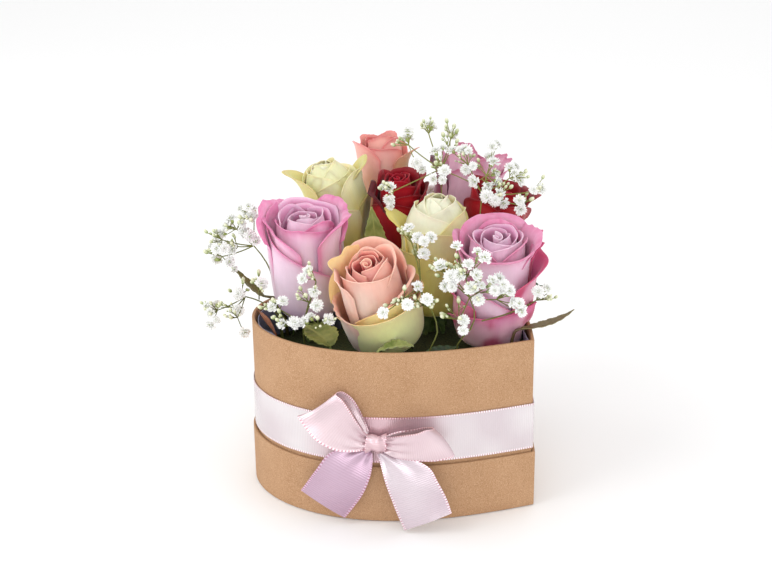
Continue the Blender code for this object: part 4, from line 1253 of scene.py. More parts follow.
        def place(u: float, v: float) -> Vector:
            """A point of the petal, with its colours noted."""
            across, share = 2.0 * u - 1.0, 1.0 - (1.0 - v) ** 1.25
            r, z = self.bent(petal, across, share)
            wide = math.radians(petal.half) * (0.70 + 0.30 * ramp(share, 0.0, 0.4))
            turn = math.radians(petal.turn + petal.twist * share) + across * wide
            loose = share ** 3
            sway = noise.noise(Vector((across * 1.7 + bloom.seed, share * 1.4, petal.turn * 0.1)))
            ruffle = noise.noise(Vector((across * 7.0, petal.turn * 0.3, bloom.seed + share)))
            r += loose * (petal.wave * 2.0 * sway + petal.frill * 2.2 * ruffle)
            r += petal.spiral * bloom.radius * across
            r -= petal.hug * bloom.radius * abs(across) ** 3 * (1.0 - 0.6 * share)
            z += loose * (petal.wave * 1.6 * sway + petal.frill * 1.6 * ruffle)
            z += petal.slope * across * share * share * bloom.height
            spot = self.point(max(r, 0.2), turn, z)
            aside = math.radians(petal.turn * 2.3)
            spot += (self.toward * math.cos(aside) + self.right * math.sin(aside)) * petal.shift * share
            outside, inside = self.tint(petal, across, share, spot)
            tints.append(outside)
            linings.append(inside)
            return spot

        sheet = grid_sheet("petal", columns, rows, place)
        paint(sheet, "tint", tints)
        paint(sheet, "lining", linings)
        return sheet

    def coil(self) -> bpy.types.Object:
        """The tight spiral in the middle of the bloom."""
        bloom = self.bloom
        dome = bloom.form is Form.DOME
        rim = 0.08 if dome else 0.11
        tones = bloom.tones[ToneSet.HEART]
        tints = []

        def place(u: float, v: float) -> Vector:
            """A point of the rolled sheet."""
            turn = 2.0 * math.pi * self.coil_turns * u + bloom.seed
            top = (0.96 - 0.01 * u) if dome else (0.975 + 0.01 * u)
            top += 0.010 * math.sin(turn * 1.3 + bloom.seed)
            low = 0.08 + 0.12 * u
            high = 0.012 + rim * u ** 0.85
            lean = ramp(v, 0.35, 1.0)
            radius = (low + (high - low) * lean + 0.022 * ramp(v, 0.90, 1.0)) * bloom.radius
            rise = (0.40 + (top - 0.40) * v) * bloom.height
            spot = self.point(radius, turn, rise)
            # Painted shade down in the coil: it takes the inside colour low down and turns to the top colour
            # near its edge and the rim colour on it, the rim partly a painted highlight.
            deep = ramp(v, 0.75, 1.0)
            tints.append(blend(tones.inside, blend(tones.top, tones.rim, ramp(v, 0.955, 1.0)), deep))
            return spot

        sheet = grid_sheet("coil", *self.coil_grid, place)
        paint(sheet, "tint", tints)
        paint(sheet, "lining", tints)
        return sheet

    def inner_petal(self, k: int) -> Petal:
        """The plan of a petal round the coil, the first one the smallest."""
        bloom = self.bloom
        dome = bloom.form is Form.DOME
        share = k / max(bloom.inner - 1, 1)
        layer = 0.17 + (bloom.core - 0.17) * share
        height = (0.960 + 0.03 * share) if dome else (0.985 + 0.02 * share)
        reach = (0.05 + 0.22 * layer) if dome else (0.08 + 0.90 * layer)
        turn = math.degrees(bloom.seed) + k * self.golden_angle
        return Petal(turn, 92.0 - 20.0 * share, height, reach, layer, roll=0.7 + 0.6 * share, lip=0.05,
                     point=0.02, drop=0.07, wave=0.7, twist=14.0, slope=0.030 * math.sin(turn),
                     spiral=0.06, shift=0.03 * bloom.radius, tone_set=ToneSet.HEART)

    def build(self, finish: bpy.types.Material) -> None:
        """Make the whole bloom in one piece, its petals lined on the back."""
        bloom = self.bloom
        sheets = [self.coil()]
        sheets += [self.blade(self.inner_petal(k), *self.inner_grid) for k in range(bloom.inner)]
        sheets += [self.blade(petal, *self.outer_grid) for petal in bloom.petals]
        made = join(sheets, bloom.node + "_bloom")
        front = thicken(made, self.petal_thick)
        tints = painted(made, "tint")
        # The back of each petal takes its inside colour, which holds painted shade.
        tints[front:] = painted(made, "lining")[front:]
        paint(made, "tint", tints)
        made.data.color_attributes.remove(made.data.color_attributes["lining"])
        smooth(made, 60)
        finish_piece(made, bloom.node, bloom.slot, finish)


def mixed(foot: Picked, body: Picked, top: Picked, rim: Picked, inside: Picked, *shape: float) -> Tones:
    """Tones from picked colours, then the rim's width, its strength and the blotch."""
    return Tones(*(srgb(*picked) for picked in (foot, body, top, rim, inside)), *shape)


def lilac(rim: Picked, foot: Picked) -> dict[ToneSet, Tones]:
    """Colour sets of a lilac rose."""
    return {
        ToneSet.HEART: mixed((214, 140, 180), (236, 186, 212), (240, 200, 222), (246, 216, 232),
                         (222, 146, 186), 0.03, 0.45),
        ToneSet.OUTER: mixed(foot, (244, 208, 228), (246, 202, 224), rim, (244, 188, 214), 0.11, 0.75),
        ToneSet.GUARD: mixed((255, 200, 202), (250, 184, 200), (226, 132, 172), (196, 52, 98), (196, 96, 146),
                         0.12, 0.7, 0.85),
    }


PEACH_TONES = {
    ToneSet.HEART: mixed((240, 128, 124), (248, 160, 152), (250, 180, 170), (252, 204, 176), (242, 122, 116),
                     0.035, 0.5),
    ToneSet.OUTER: mixed((240, 168, 146), (250, 220, 204), (244, 186, 170), (248, 212, 188), (246, 168, 148),
                     0.035, 0.45),
    ToneSet.GUARD: mixed((252, 248, 142), (255, 253, 180), (252, 238, 166), (240, 190, 116), (234, 188, 138),
                     0.04, 0.5),
}
IVORY_TONES = {
    ToneSet.HEART: mixed((222, 218, 158), (234, 230, 188), (240, 236, 202), (242, 238, 212), (220, 212, 150),
                     0.03, 0.4),
    ToneSet.OUTER: mixed((222, 204, 76), (232, 220, 140), (236, 230, 182), (238, 230, 172), (234, 228, 176),
                     0.04, 0.5),
    ToneSet.GUARD: mixed((214, 204, 90), (226, 218, 124), (218, 212, 140), (202, 174, 96), (204, 200, 120),
                     0.05, 0.5),
}
CREAM_TONES = {
    ToneSet.HEART: mixed((228, 222, 156), (242, 236, 196), (246, 242, 212), (248, 245, 224), (222, 210, 136),
                     0.03, 0.4),
    ToneSet.OUTER: mixed((232, 214, 92), (244, 230, 150), (244, 235, 176), (244, 232, 160), (240, 232, 166),
                     0.04, 0.5),
    ToneSet.GUARD: mixed((226, 208, 86), (242, 226, 126), (242, 232, 150), (226, 198, 108), (218, 204, 112),
                     0.04, 0.5),
}
CORAL_TONES = {
    ToneSet.HEART: mixed((226, 126, 120), (238, 158, 148), (242, 172, 160), (226, 110, 112), (222, 112, 106),
                     0.04, 0.6),
    ToneSet.OUTER: mixed((238, 198, 154), (246, 188, 170), (242, 168, 160), (222, 108, 112), (236, 166, 148),
                     0.05, 0.6),
    ToneSet.GUARD: mixed((218, 204, 146), (232, 198, 148), (232, 182, 138), (214, 122, 112), (230, 184, 140),
                     0.05, 0.6),
}
RED_TONES = {
    ToneSet.HEART: mixed((84, 0, 14), (148, 4, 22), (172, 8, 30), (196, 20, 42), (64, 0, 12), 0.04, 0.6),
    ToneSet.OUTER: mixed((78, 0, 14), (142, 4, 22), (172, 8, 28), (120, 2, 20), (128, 4, 22), 0.05, 0.6),
    ToneSet.GUARD: mixed((68, 4, 14), (104, 2, 18), (112, 4, 22), (52, 0, 12), (100, 4, 20), 0.10, 0.7),
}
MAUVE_TONES = {
    ToneSet.HEART: mixed((170, 98, 138), (206, 146, 180), (216, 162, 194), (222, 166, 196), (160, 82, 126),
                     0.04, 0.5),
    ToneSet.OUTER: mixed((200, 160, 170), (222, 168, 190), (226, 168, 190), (196, 98, 136), (206, 136, 168),
                     0.06, 0.7),
    ToneSet.GUARD: mixed((150, 110, 110), (170, 90, 120), (120, 30, 70), (70, 10, 40), (140, 60, 95), 0.12, 0.7),
}
LILAC_LEFT_TONES = lilac((212, 92, 148), (200, 158, 194))
LILAC_RIGHT_TONES = lilac((206, 100, 144), (220, 156, 176))

# Each petal: turn, half, height, reach, layer, roll, lip and wave, then what else it has.
BLOOMS = (
    Bloom("rose_lilac_left", "rose_lilac", (-37, -28, 143), (-41, -20, 84), (-41, -20), 25.0, Form.CUP,
          LILAC_LEFT_TONES, (
        Petal(165, 88, 1.03, 0.50, 0.48, 1.2, 0.07, 1.0, tone_set=ToneSet.HEART),
        Petal(40, 60, 0.99, 0.52, 0.52, 1.3, 0.08, 0.9),
        Petal(-8, 80, 0.955, 0.60, 0.60, 1.5, 0.08, drop=0.02, slope=-0.03, wave=1.5, frill=0.5),
        Petal(-68, 64, 0.95, 0.78, 0.80, 1.4, 0.09, 1.4, frill=0.5, point=0.02, slope=-0.05),
        Petal(175, 74, 1.05, 0.74, 0.72, 1.5, 0.09, 1.3, tone_set=ToneSet.HEART),
        Petal(86, 64, 1.02, 0.82, 0.84, 1.8, 0.12, 1.8, frill=0.8, point=0.04),
        Petal(-40, 90, 0.78, 0.80, 0.87, 0.9, 0.07, 0.8, drop=0.08, point=0.0, slope=-0.29),
        Petal(125, 58, 1.07, 0.88, 0.94, 1.8, 0.11, 1.8, frill=0.6, point=0.09),
        Petal(-122, 60, 1.04, 0.88, 0.92, 1.8, 0.11, 1.6, frill=0.5, point=0.07),
    ), seed=0.4),
    Bloom("rose_peach_front", "rose_peach", (11, -39, 129), (8, -17, 80), (6, -16), 25.0, Form.CUP,
          PEACH_TONES, (
        Petal(175, 88, 1.02, 0.34, 0.36, 0.9, 0.06, 0.6),
        Petal(60, 70, 1.00, 0.36, 0.40, 1.0, 0.07, 0.6),
        Petal(-70, 66, 0.99, 0.38, 0.44, 1.0, 0.07, 0.6),
        Petal(105, 74, 1.01, 0.56, 0.54, 1.3, 0.09, 0.9),
        Petal(-5, 66, 0.975, 0.52, 0.56, 1.5, 0.07, drop=0.05, slope=-0.02, wave=1.0, frill=0.3),
        Petal(-78, 40, 0.99, 0.66, 0.66, 0.7, 0.06, 1.0, frill=0.4),
        Petal(-130, 40, 1.02, 0.64, 0.64, 0.8, 0.10, 1.6, drop=0.05, point=0.0, tone_set=ToneSet.GUARD),
        Petal(172, 72, 0.95, 0.80, 0.82, 1.5, 0.10),
        Petal(62, 52, 0.84, 0.86, 0.84, 1.4, 0.10, slope=0.04, wave=0.8),
        Petal(22, 60, 0.73, 0.84, 0.90, 1.2, 0.08, 1.8, frill=0.5, slope=0.05, tone_set=ToneSet.GUARD),
        Petal(28, 96, 0.66, 1.02, 1.06, 0.5, 0.05, 2.0, frill=0.6, slope=0.04, drop=0.12, tone_set=ToneSet.GUARD),
        Petal(-75, 50, 0.62, 0.82, 0.97, 1.2, 0.09, 1.6, frill=0.5),
        Petal(-160, 70, 0.74, 0.90, 1.00, 1.5, 0.12, 1.0, tone_set=ToneSet.GUARD),
    ), inner=4, core=0.25, seed=2.1),
    Bloom("rose_lilac_right", "rose_lilac", (59, 6, 140), (48, 18, 80), (45, 15), 24.5, Form.CUP,
          LILAC_RIGHT_TONES, (
        Petal(160, 86, 1.02, 0.48, 0.48, 1.0, 0.07),
        Petal(-60, 70, 1.00, 0.52, 0.52, 1.2, 0.08),
        Petal(60, 66, 0.99, 0.56, 0.58, 1.3, 0.08),
        Petal(-150, 72, 1.02, 0.66, 0.66, 1.5, 0.09, point=0.03),
        Petal(2, 84, 0.945, 0.74, 0.72, 1.7, 0.10, 1.5, frill=0.3, drop=0.0, slope=0.01),
        Petal(100, 56, 1.00, 0.80, 0.78, 1.2, 0.12, 1.6, frill=0.6, point=0.04),
        Petal(-92, 50, 0.98, 0.82, 0.82, 1.5, 0.10, 0.8, point=0.05),
        Petal(112, 42, 0.94, 0.98, 0.88, 0.8, 0.10, 1.6, frill=1.4, tone_set=ToneSet.GUARD),
        Petal(168, 68, 0.99, 0.84, 0.88, 1.6, 0.10),
        Petal(-50, 76, 0.72, 0.84, 0.90, 0.9, 0.07, slope=-0.24, wave=1.2, point=0.0, drop=0.08),
        Petal(82, 56, 0.78, 1.02, 1.04, 1.0, 0.08, 1.2, point=0.0, tone_set=ToneSet.GUARD),
        Petal(-70, 44, 0.56, 0.98, 1.00, 1.0, 0.10, 1.8, frill=0.8, tone_set=ToneSet.GUARD),
        Petal(0, 70, 0.45, 0.96, 1.07, 0.9, 0.12, 4.2, frill=2.6, slope=0.10, tone_set=ToneSet.GUARD),
    ), inner=6, core=0.47, seed=1.2),
    Bloom("rose_ivory_left", "rose_ivory", (-57, 12, 158), (-46, 24, 110), (-42, 22), 22.5, Form.DOME,
          IVORY_TONES, (
        Petal(-20, 100, 0.99, 0.16, 0.48, 0.8, 0.05, 0.7, drop=0.10, point=0.0),
        Petal(160, 100, 0.985, 0.20, 0.50, 0.6, 0.05, 0.5, drop=0.12, point=0.0),
        Petal(80, 88, 0.97, 0.30, 0.52, 1.0, 0.06, 0.8, drop=0.12, point=0.0, slope=0.03),
        Petal(-62, 84, 0.94, 0.38, 0.54, 1.1, 0.06, 0.9, drop=0.12, point=0.0, slope=-0.04),
        Petal(20, 76, 0.82, 0.56, 0.62, 1.1, 0.08, 0.9, slope=0.05, drop=0.04),
        Petal(-150, 80, 0.94, 0.46, 0.58, 0.8, 0.08),
        Petal(-80, 56, 1.04, 0.86, 0.72, 0.8, 0.08, 1.2, point=0.07, hug=0.0, tone_set=ToneSet.GUARD),
        Petal(92, 46, 0.90, 1.06, 0.88, 1.0, 0.10, 0.9, point=0.05, tone_set=ToneSet.GUARD),
        Petal(60, 40, 0.84, 0.80, 0.90, 0.9, 0.08, 0.9),
        Petal(170, 70, 0.82, 0.76, 0.86, 1.3, 0.10),
        Petal(68, 34, 0.55, 0.90, 0.98, 0.9, 0.10, 0.8, point=0.08, tone_set=ToneSet.GUARD),
        Petal(-20, 60, 0.55, 0.86, 0.98, 0.9, 0.10, 0.8),
    ), inner=5, core=0.44, seed=3.0),
    Bloom("rose_cream_centre", "rose_cream", (15, 18, 150), (7, 24, 82), (6, 25), 21.0, Form.DOME,
          CREAM_TONES, (
        Petal(-10, 104, 0.985, 0.16, 0.74, 0.8, 0.05, 0.5, drop=0.10, point=0.0, tone_set=ToneSet.HEART),
        Petal(165, 104, 0.985, 0.18, 0.77, 0.6, 0.05, 0.5, drop=0.12, point=0.0, tone_set=ToneSet.HEART),
        Petal(-110, 92, 0.97, 0.30, 0.80, 0.9, 0.06, 0.6, drop=0.12, point=0.0, slope=-0.03, tone_set=ToneSet.HEART),
        Petal(55, 90, 0.95, 0.42, 0.83, 0.9, 0.06, 0.7, drop=0.10, point=0.0, slope=0.04, tone_set=ToneSet.HEART),
        Petal(-40, 84, 0.91, 0.58, 0.86, 1.0, 0.06, 0.9, drop=0.10, point=0.0, slope=-0.05, tone_set=ToneSet.HEART),
        Petal(70, 74, 0.90, 0.66, 0.90, 1.1, 0.07, 0.9),
        Petal(-15, 74, 0.80, 0.86, 0.92, 1.1, 0.08, 0.9, slope=0.03),
        Petal(-96, 42, 0.85, 1.14, 0.92, 0.9, 0.10, 1.6, frill=1.0, point=0.12, hug=0.0, tone_set=ToneSet.GUARD),
        Petal(165, 72, 0.86, 0.88, 0.96, 1.2, 0.08),
        Petal(-40, 60, 0.62, 0.98, 1.02, 0.9, 0.08, 1.3, tone_set=ToneSet.GUARD),
        Petal(50, 64, 0.58, 0.98, 1.04, 0.9, 0.08, 1.2, tone_set=ToneSet.GUARD),
    ), inner=5, core=0.66, seed=4.0),
    Bloom("rose_coral_back", "rose_coral", (-50, 57, 164), (-44, 52, 116), (-40, 47), 18.0, Form.CUP,
          CORAL_TONES, (
        Petal(150, 84, 1.03, 0.46, 0.52, 0.9, 0.07, 1.0, frill=0.3),
        Petal(-140, 76, 1.02, 0.54, 0.60, 1.0, 0.08, 1.0, frill=0.3),
        Petal(60, 70, 0.99, 0.58, 0.66, 1.1, 0.08, 0.9),
        Petal(-22, 86, 0.90, 0.72, 0.76, 1.0, 0.07, 0.9, drop=0.0, slope=-0.05),
        Petal(-72, 70, 0.97, 0.84, 0.84, 0.8, 0.07, 0.9, point=0.08),
        Petal(165, 72, 0.97, 0.84, 0.90, 1.3, 0.09),
        Petal(74, 46, 0.86, 1.06, 0.94, 1.1, 0.14, 1.2, tone_set=ToneSet.GUARD),
    ), inner=4, core=0.44, seed=5.0),
    Bloom("rose_red_centre", "rose_red", (-20, 30, 152), (-19, 34, 98), (-19, 34), 18.5, Form.CUP,
          RED_TONES, (
        Petal(150, 80, 1.03, 0.56, 0.54, 1.2, 0.09, 1.0),
        Petal(-10, 72, 0.97, 0.62, 0.62, 1.5, 0.10, 1.0, drop=0.05),
        Petal(100, 62, 1.02, 0.72, 0.72, 1.6, 0.12, 1.2),
        Petal(-130, 62, 1.04, 0.76, 0.78, 1.6, 0.12, 1.2),
        Petal(30, 62, 0.88, 0.76, 0.82, 1.5, 0.12, 1.0, slope=-0.04),
        Petal(-78, 54, 1.00, 0.90, 0.88, 1.9, 0.15, 1.3, point=0.10, tone_set=ToneSet.GUARD),
        Petal(170, 66, 0.98, 0.88, 0.94, 1.5, 0.10),
        Petal(-20, 64, 0.80, 0.78, 0.95, 1.2, 0.10, 0.9),
        Petal(88, 56, 0.90, 0.88, 1.00, 1.4, 0.10, 0.9),
    ), seed=0.9, velvet=0.15),
    Bloom("rose_red_right", "rose_red", (27, 61, 144), (23, 49, 95), (22, 46), 20.5, Form.CUP,
          RED_TONES, (
        Petal(160, 80, 1.12, 0.58, 0.56, 1.3, 0.09, 1.6),
        Petal(0, 74, 1.02, 0.64, 0.64, 1.5, 0.10, 1.4, drop=0.05),
        Petal(95, 64, 1.12, 0.76, 0.74, 1.4, 0.12, 1.8),
        Petal(-110, 62, 1.12, 0.78, 0.78, 1.4, 0.12, 1.6),
        Petal(40, 60, 0.92, 0.82, 0.84, 1.6, 0.12, 1.1),
        Petal(-45, 58, 0.90, 0.80, 0.88, 1.5, 0.12, 1.0),
        Petal(92, 48, 1.10, 1.02, 0.92, 1.5, 0.12, 1.9, point=0.06),
        Petal(175, 66, 1.08, 0.88, 0.96, 1.4, 0.10, 1.4),
        Petal(20, 62, 0.78, 0.84, 0.98, 1.2, 0.10, 0.9),
    ), seed=2.7, velvet=0.15),
    Bloom("rose_mauve_back", "rose_mauve", (-7, 85, 151), (0, 58, 98), (-1, 55), 22.5, Form.CUP,
          MAUVE_TONES, (
        Petal(0, 78, 0.98, 0.62, 0.60, 1.0, 0.09, 1.3, frill=0.7),
        Petal(125, 76, 1.02, 0.70, 0.68, 1.1, 0.09, 1.3, frill=0.7),
        Petal(-120, 72, 1.06, 0.76, 0.76, 1.0, 0.09, 1.3, frill=0.8),
        Petal(52, 56, 1.06, 0.90, 0.84, 0.9, 0.10, 1.4, frill=1.3, point=0.08),
        Petal(-24, 46, 1.07, 0.82, 0.86, 0.8, 0.10, 1.4, frill=1.3, point=0.10),
        Petal(-88, 48, 0.99, 0.98, 0.94, 1.2, 0.14, 1.4, point=0.10, tone_set=ToneSet.GUARD),
        Petal(98, 52, 1.00, 0.99, 0.96, 1.1, 0.12, 1.2, frill=1.0, point=0.08),
        Petal(0, 70, 0.84, 0.82, 0.94, 1.0, 0.09, 1.0, frill=0.5),
        Petal(175, 66, 1.05, 0.92, 0.98, 1.4, 0.12, 1.2, frill=0.8),
    ), inner=4, seed=3.8),
)


def planted(hole: tuple[float, float]) -> tuple[Vector, Vector]:
    """The bottom of a hole in the foam, and the place just over its mouth."""
    return Vector((*hole, HOLE_BOTTOM)), Vector((*hole, FOAM_TOP + 1.0))


@dataclass(frozen=True)
class RoseStem:
    """Stem, hip and sepals under a bloom; the hip as rows of distance below the bloom and radius."""

    stem_radius: float = 2.3
    hip: tuple = ((7.0, 2.2), (5.0, 3.6), (2.4, 5.0), (0.6, 5.4), (0.0, 3.78))
    bend_below: float = 14.0
    sepals: int = 5
    sepal_half: float = 2.6

    def sepal(self, bloom: Bloom, k: int) -> bpy.types.Object:
        """One sepal, bent down from the hip."""
        toward, right = bloom.frame()
        axis, top = bloom.axis, self.top(bloom)
        turn = bloom.seed + 2 * math.pi * (k + 0.5) / self.sepals
        out = toward * math.cos(turn) + right * math.sin(turn)
        side = axis.cross(out)

        def place(u: float, v: float) -> Vector:
            """A point of the sepal, u across and v along."""
            across = 2.0 * u - 1.0
            reach = 3.6 + 6.6 * v ** 0.7
            drop = 1.2 + 2.4 * v + 10.0 * v * v
            half = self.sepal_half * (1.0 - v) ** 0.6 * (0.7 + 0.5 * math.sin(math.pi * v)) + 0.25
            spot = top + out * (reach + 0.6 * abs(across)) - axis * drop + side * across * half
            spot += side * 1.2 * v * v * math.sin(k * 2.0)
            spot.z = max(spot.z, FOAM_TOP + 1.2)
            return spot

        sepal = grid_sheet("sepal", 4, 12, place)
        apply_modifier(sepal, "SOLIDIFY", thickness=0.45 * MM, offset=0.0)
        return sepal

    def top(self, bloom: Bloom) -> Vector:
        """Where the hip meets the bloom."""
        return Vector(bloom.foot) - bloom.axis * 0.3

    def build(self, bloom: Bloom, finish: bpy.types.Material) -> None:
        """Make the stem, hip and sepals of a bloom in one piece.

        Args:
            bloom: The rose it carries.
            finish: Stem material.
        """
        axis, top = bloom.axis, self.top(bloom)
        bend = top - axis * self.bend_below
        low, _ = planted(bloom.hole)
        mid = Vector((*bloom.hole, FOAM_TOP + 0.5))
        path = [(low, self.stem_radius), (mid, self.stem_radius)]
        if bend.z > mid.z + 6.0:
            path.append((mid.lerp(bend, 0.6) + UP * 2.0, self.stem_radius * 0.95))
        path += [(top - axis * below, radius) for below, radius in self.hip]
        pieces = [tubes("stem", [path], 3)] + [self.sepal(bloom, k) for k in range(self.sepals)]
        made = join(pieces, bloom.node + "_stem_green")
        smooth(made, 60)
        finish_piece(made, bloom.node + "_stem", "rose_stem", finish)


# Gypsophila.

@dataclass(frozen=True)
class Spray:
    """A stem's route, the heads it forks to, and the places of its florets.

    buds is how many stand at each head, and pairs is the share of florets with a second one.
    """

    node: str
    hole: tuple[float, float]
    route: tuple
    heads: tuple
    florets: tuple
    buds: int = 3
    pairs: float = 0.3


SPRAYS = (
    Spray("spray_left_high", (-53, -30), ((-57, -27, 97), (-61, -27, 111), (-68, -33, 121)),
          ((-66, -34, 136), (-73, -40, 131), (-80, -44, 125), (-80, -45, 116), (-74, -39, 121)),
          ((-63, -39, 145), (-62, -36, 139), (-77, -40, 136), (-69, -39, 130), (-85, -42, 127),
           (-87, -45, 120), (-75, -42, 120), (-75, -45, 114), (-86, -44, 113), (-64, -40, 129),
           (-81, -38, 131), (-71, -33, 138), (-79, -50, 122)), buds=5, pairs=1.0),
    Spray("spray_left_low", (-46, -37), ((-47, -38, 88), (-57, -43, 96), (-64, -46, 97)),
          ((-77, -54, 89), (-68, -50, 91), (-68, -44, 97), (-55, -45, 102), (-61, -56, 89)),
          ((-52, -46, 107), (-66, -49, 99), (-64, -52, 91), (-82, -57, 91), (-78, -59, 82),
           (-56, -57, 82), (-84, -52, 86)), buds=4, pairs=0.4),
    Spray("spray_front_left", (-18, -50), ((-19, -54, 88), (-16, -56, 97)),
          ((-30, -58, 101), (-14, -54, 107), (-10, -50, 118), (-21, -61, 95), (-4, -59, 99)),
          ((-7, -49, 125), (-11, -53, 113), (-26, -60, 107), (-32, -61, 103), (-8, -55, 107),
           (-10, -58, 101), (-17, -62, 98), (-24, -63, 96), (-12, -60, 99), (1, -57, 102)), buds=6,
           pairs=0.4),
    Spray("spray_front_middle", (38, -33), ((45, -33, 88), (50, -29, 101), (38, -30, 117)),
          ((18, -20, 131), (27, -18, 127), (33, -40, 116), (43, -36, 112)),
          ((16, -22, 137), (22, -20, 135), (33, -14, 139), (31, -18, 131), (40, -36, 121), (33, -55, 112),
           (44, -50, 117), (49, -41, 118)), buds=8, pairs=0.2),
    Spray("spray_front_right", (60, -14), ((52, -26, 88), (67, -20, 104), (63, -25, 117)),
          ((50, -26, 127), (55, -25, 125), (62, -27, 128), (67, -25, 120), (74, -18, 116), (61, -31, 107),
           (80, 10, 108)),
          ((56, -26, 142), (56, -31, 128), (64, -28, 135), (70, -23, 138), (68, -27, 130), (60, -30, 129),
           (74, -22, 127), (79, -20, 125), (67, -30, 124), (70, -28, 118), (81, -18, 122), (83, -17, 116),
           (86, -15, 112), (85, 3, 116), (65, -33, 108), (48, -28, 131), (52, -30, 122)), buds=6,
           pairs=0.7),
    Spray("spray_top_middle", (2, 42), ((1, 42, 100), (2, 42, 130), (4, 38, 158)),
          ((-12, 31, 170), (-4, 38, 176), (5, 46, 173), (7, 42, 167), (-7, 12, 150)),
          ((-17, 37, 172), (-9, 48, 177), (1, 53, 173), (-3, 25, 163), (-5, 11, 152), (-5, 9, 146),
           (-12, 30, 178)), buds=5, pairs=0.5),
    Spray("spray_top_right", (34, 31), ((34, 31, 100), (32, 31, 130), (30, 32, 150)),
          ((14, 28, 160), (22, 37, 163), (33, 37, 159), (44, 42, 158), (56, 45, 152), (51, 38, 146),
           (40, 35, 150)),
          ((3, 34, 168), (11, 38, 169), (18, 40, 170), (32, 48, 173), (14, 26, 161), (10, 22, 157),
           (22, 34, 161), (28, 33, 156), (34, 37, 154), (35, 42, 159), (34, 42, 165), (43, 44, 163),
           (48, 45, 157), (40, 34, 147), (42, 36, 151), (61, 46, 154), (54, 37, 144), (20, 20, 152)),
           buds=4, pairs=0.9),
    Spray("spray_back", (-22, 56), ((-24, 62, 96), (-26, 72, 112)),
          ((-38, 80, 121), (-26, 85, 126), (-46, 77, 111)),
          ((-42, 84, 126), (-35, 86, 128), (-28, 91, 132), (-22, 88, 128), (-50, 79, 116),
           (-53, 80, 110))),
)


# How far a bloom's room reaches below its foot and above its mouth, and how often a place is moved.
BELOW_BLOOM = 8.0
ABOVE_BLOOM = 4.0
MOVES = 6


def clear_of_blooms(place: Vector, margin: float) -> Vector:
    """Move a place out of every bloom it lies in, straight out from the bloom's axis."""
    place = Vector(place)
    for _ in range(MOVES):
        moved = False
        for bloom in BLOOMS:
            foot, axis = Vector(bloom.foot), bloom.axis
            rise = (place - foot).dot(axis)
            if not -BELOW_BLOOM < rise < bloom.height + ABOVE_BLOOM:
                continue
            away = place - foot - axis * rise
            room = bloom.radius * outer_share(max(rise, 0.0) / bloom.height) + margin
            if away.length < room:
                place = foot + axis * rise + away.normalized() * (room + 0.05)
                moved = True
        if not moved:
            break
    return place


def within_box(place: Vector) -> Vector:
    """Keep a place inside the CAD model's box."""
    low, high = CAD_BOX
    return Vector([min(max(place[i], low[i] / MM), high[i] / MM) for i in range(3)])


@dataclass
class Growth:
    """What a spray has grown: twigs as places with radii, forks with their direction, and flowers."""

    spray: Spray
    chance: random.Random
    twigs: list = field(default_factory=list)
    forks: list = field(default_factory=list)
    flowers: list = field(default_factory=list)

    def turned(self, way: Vector) -> Vector:
        """A chance direction square to a way."""
        spin = Matrix.Rotation(self.chance.uniform(0.0, 2 * math.pi), 3, way)
        return spin @ way.orthogonal().normalized()


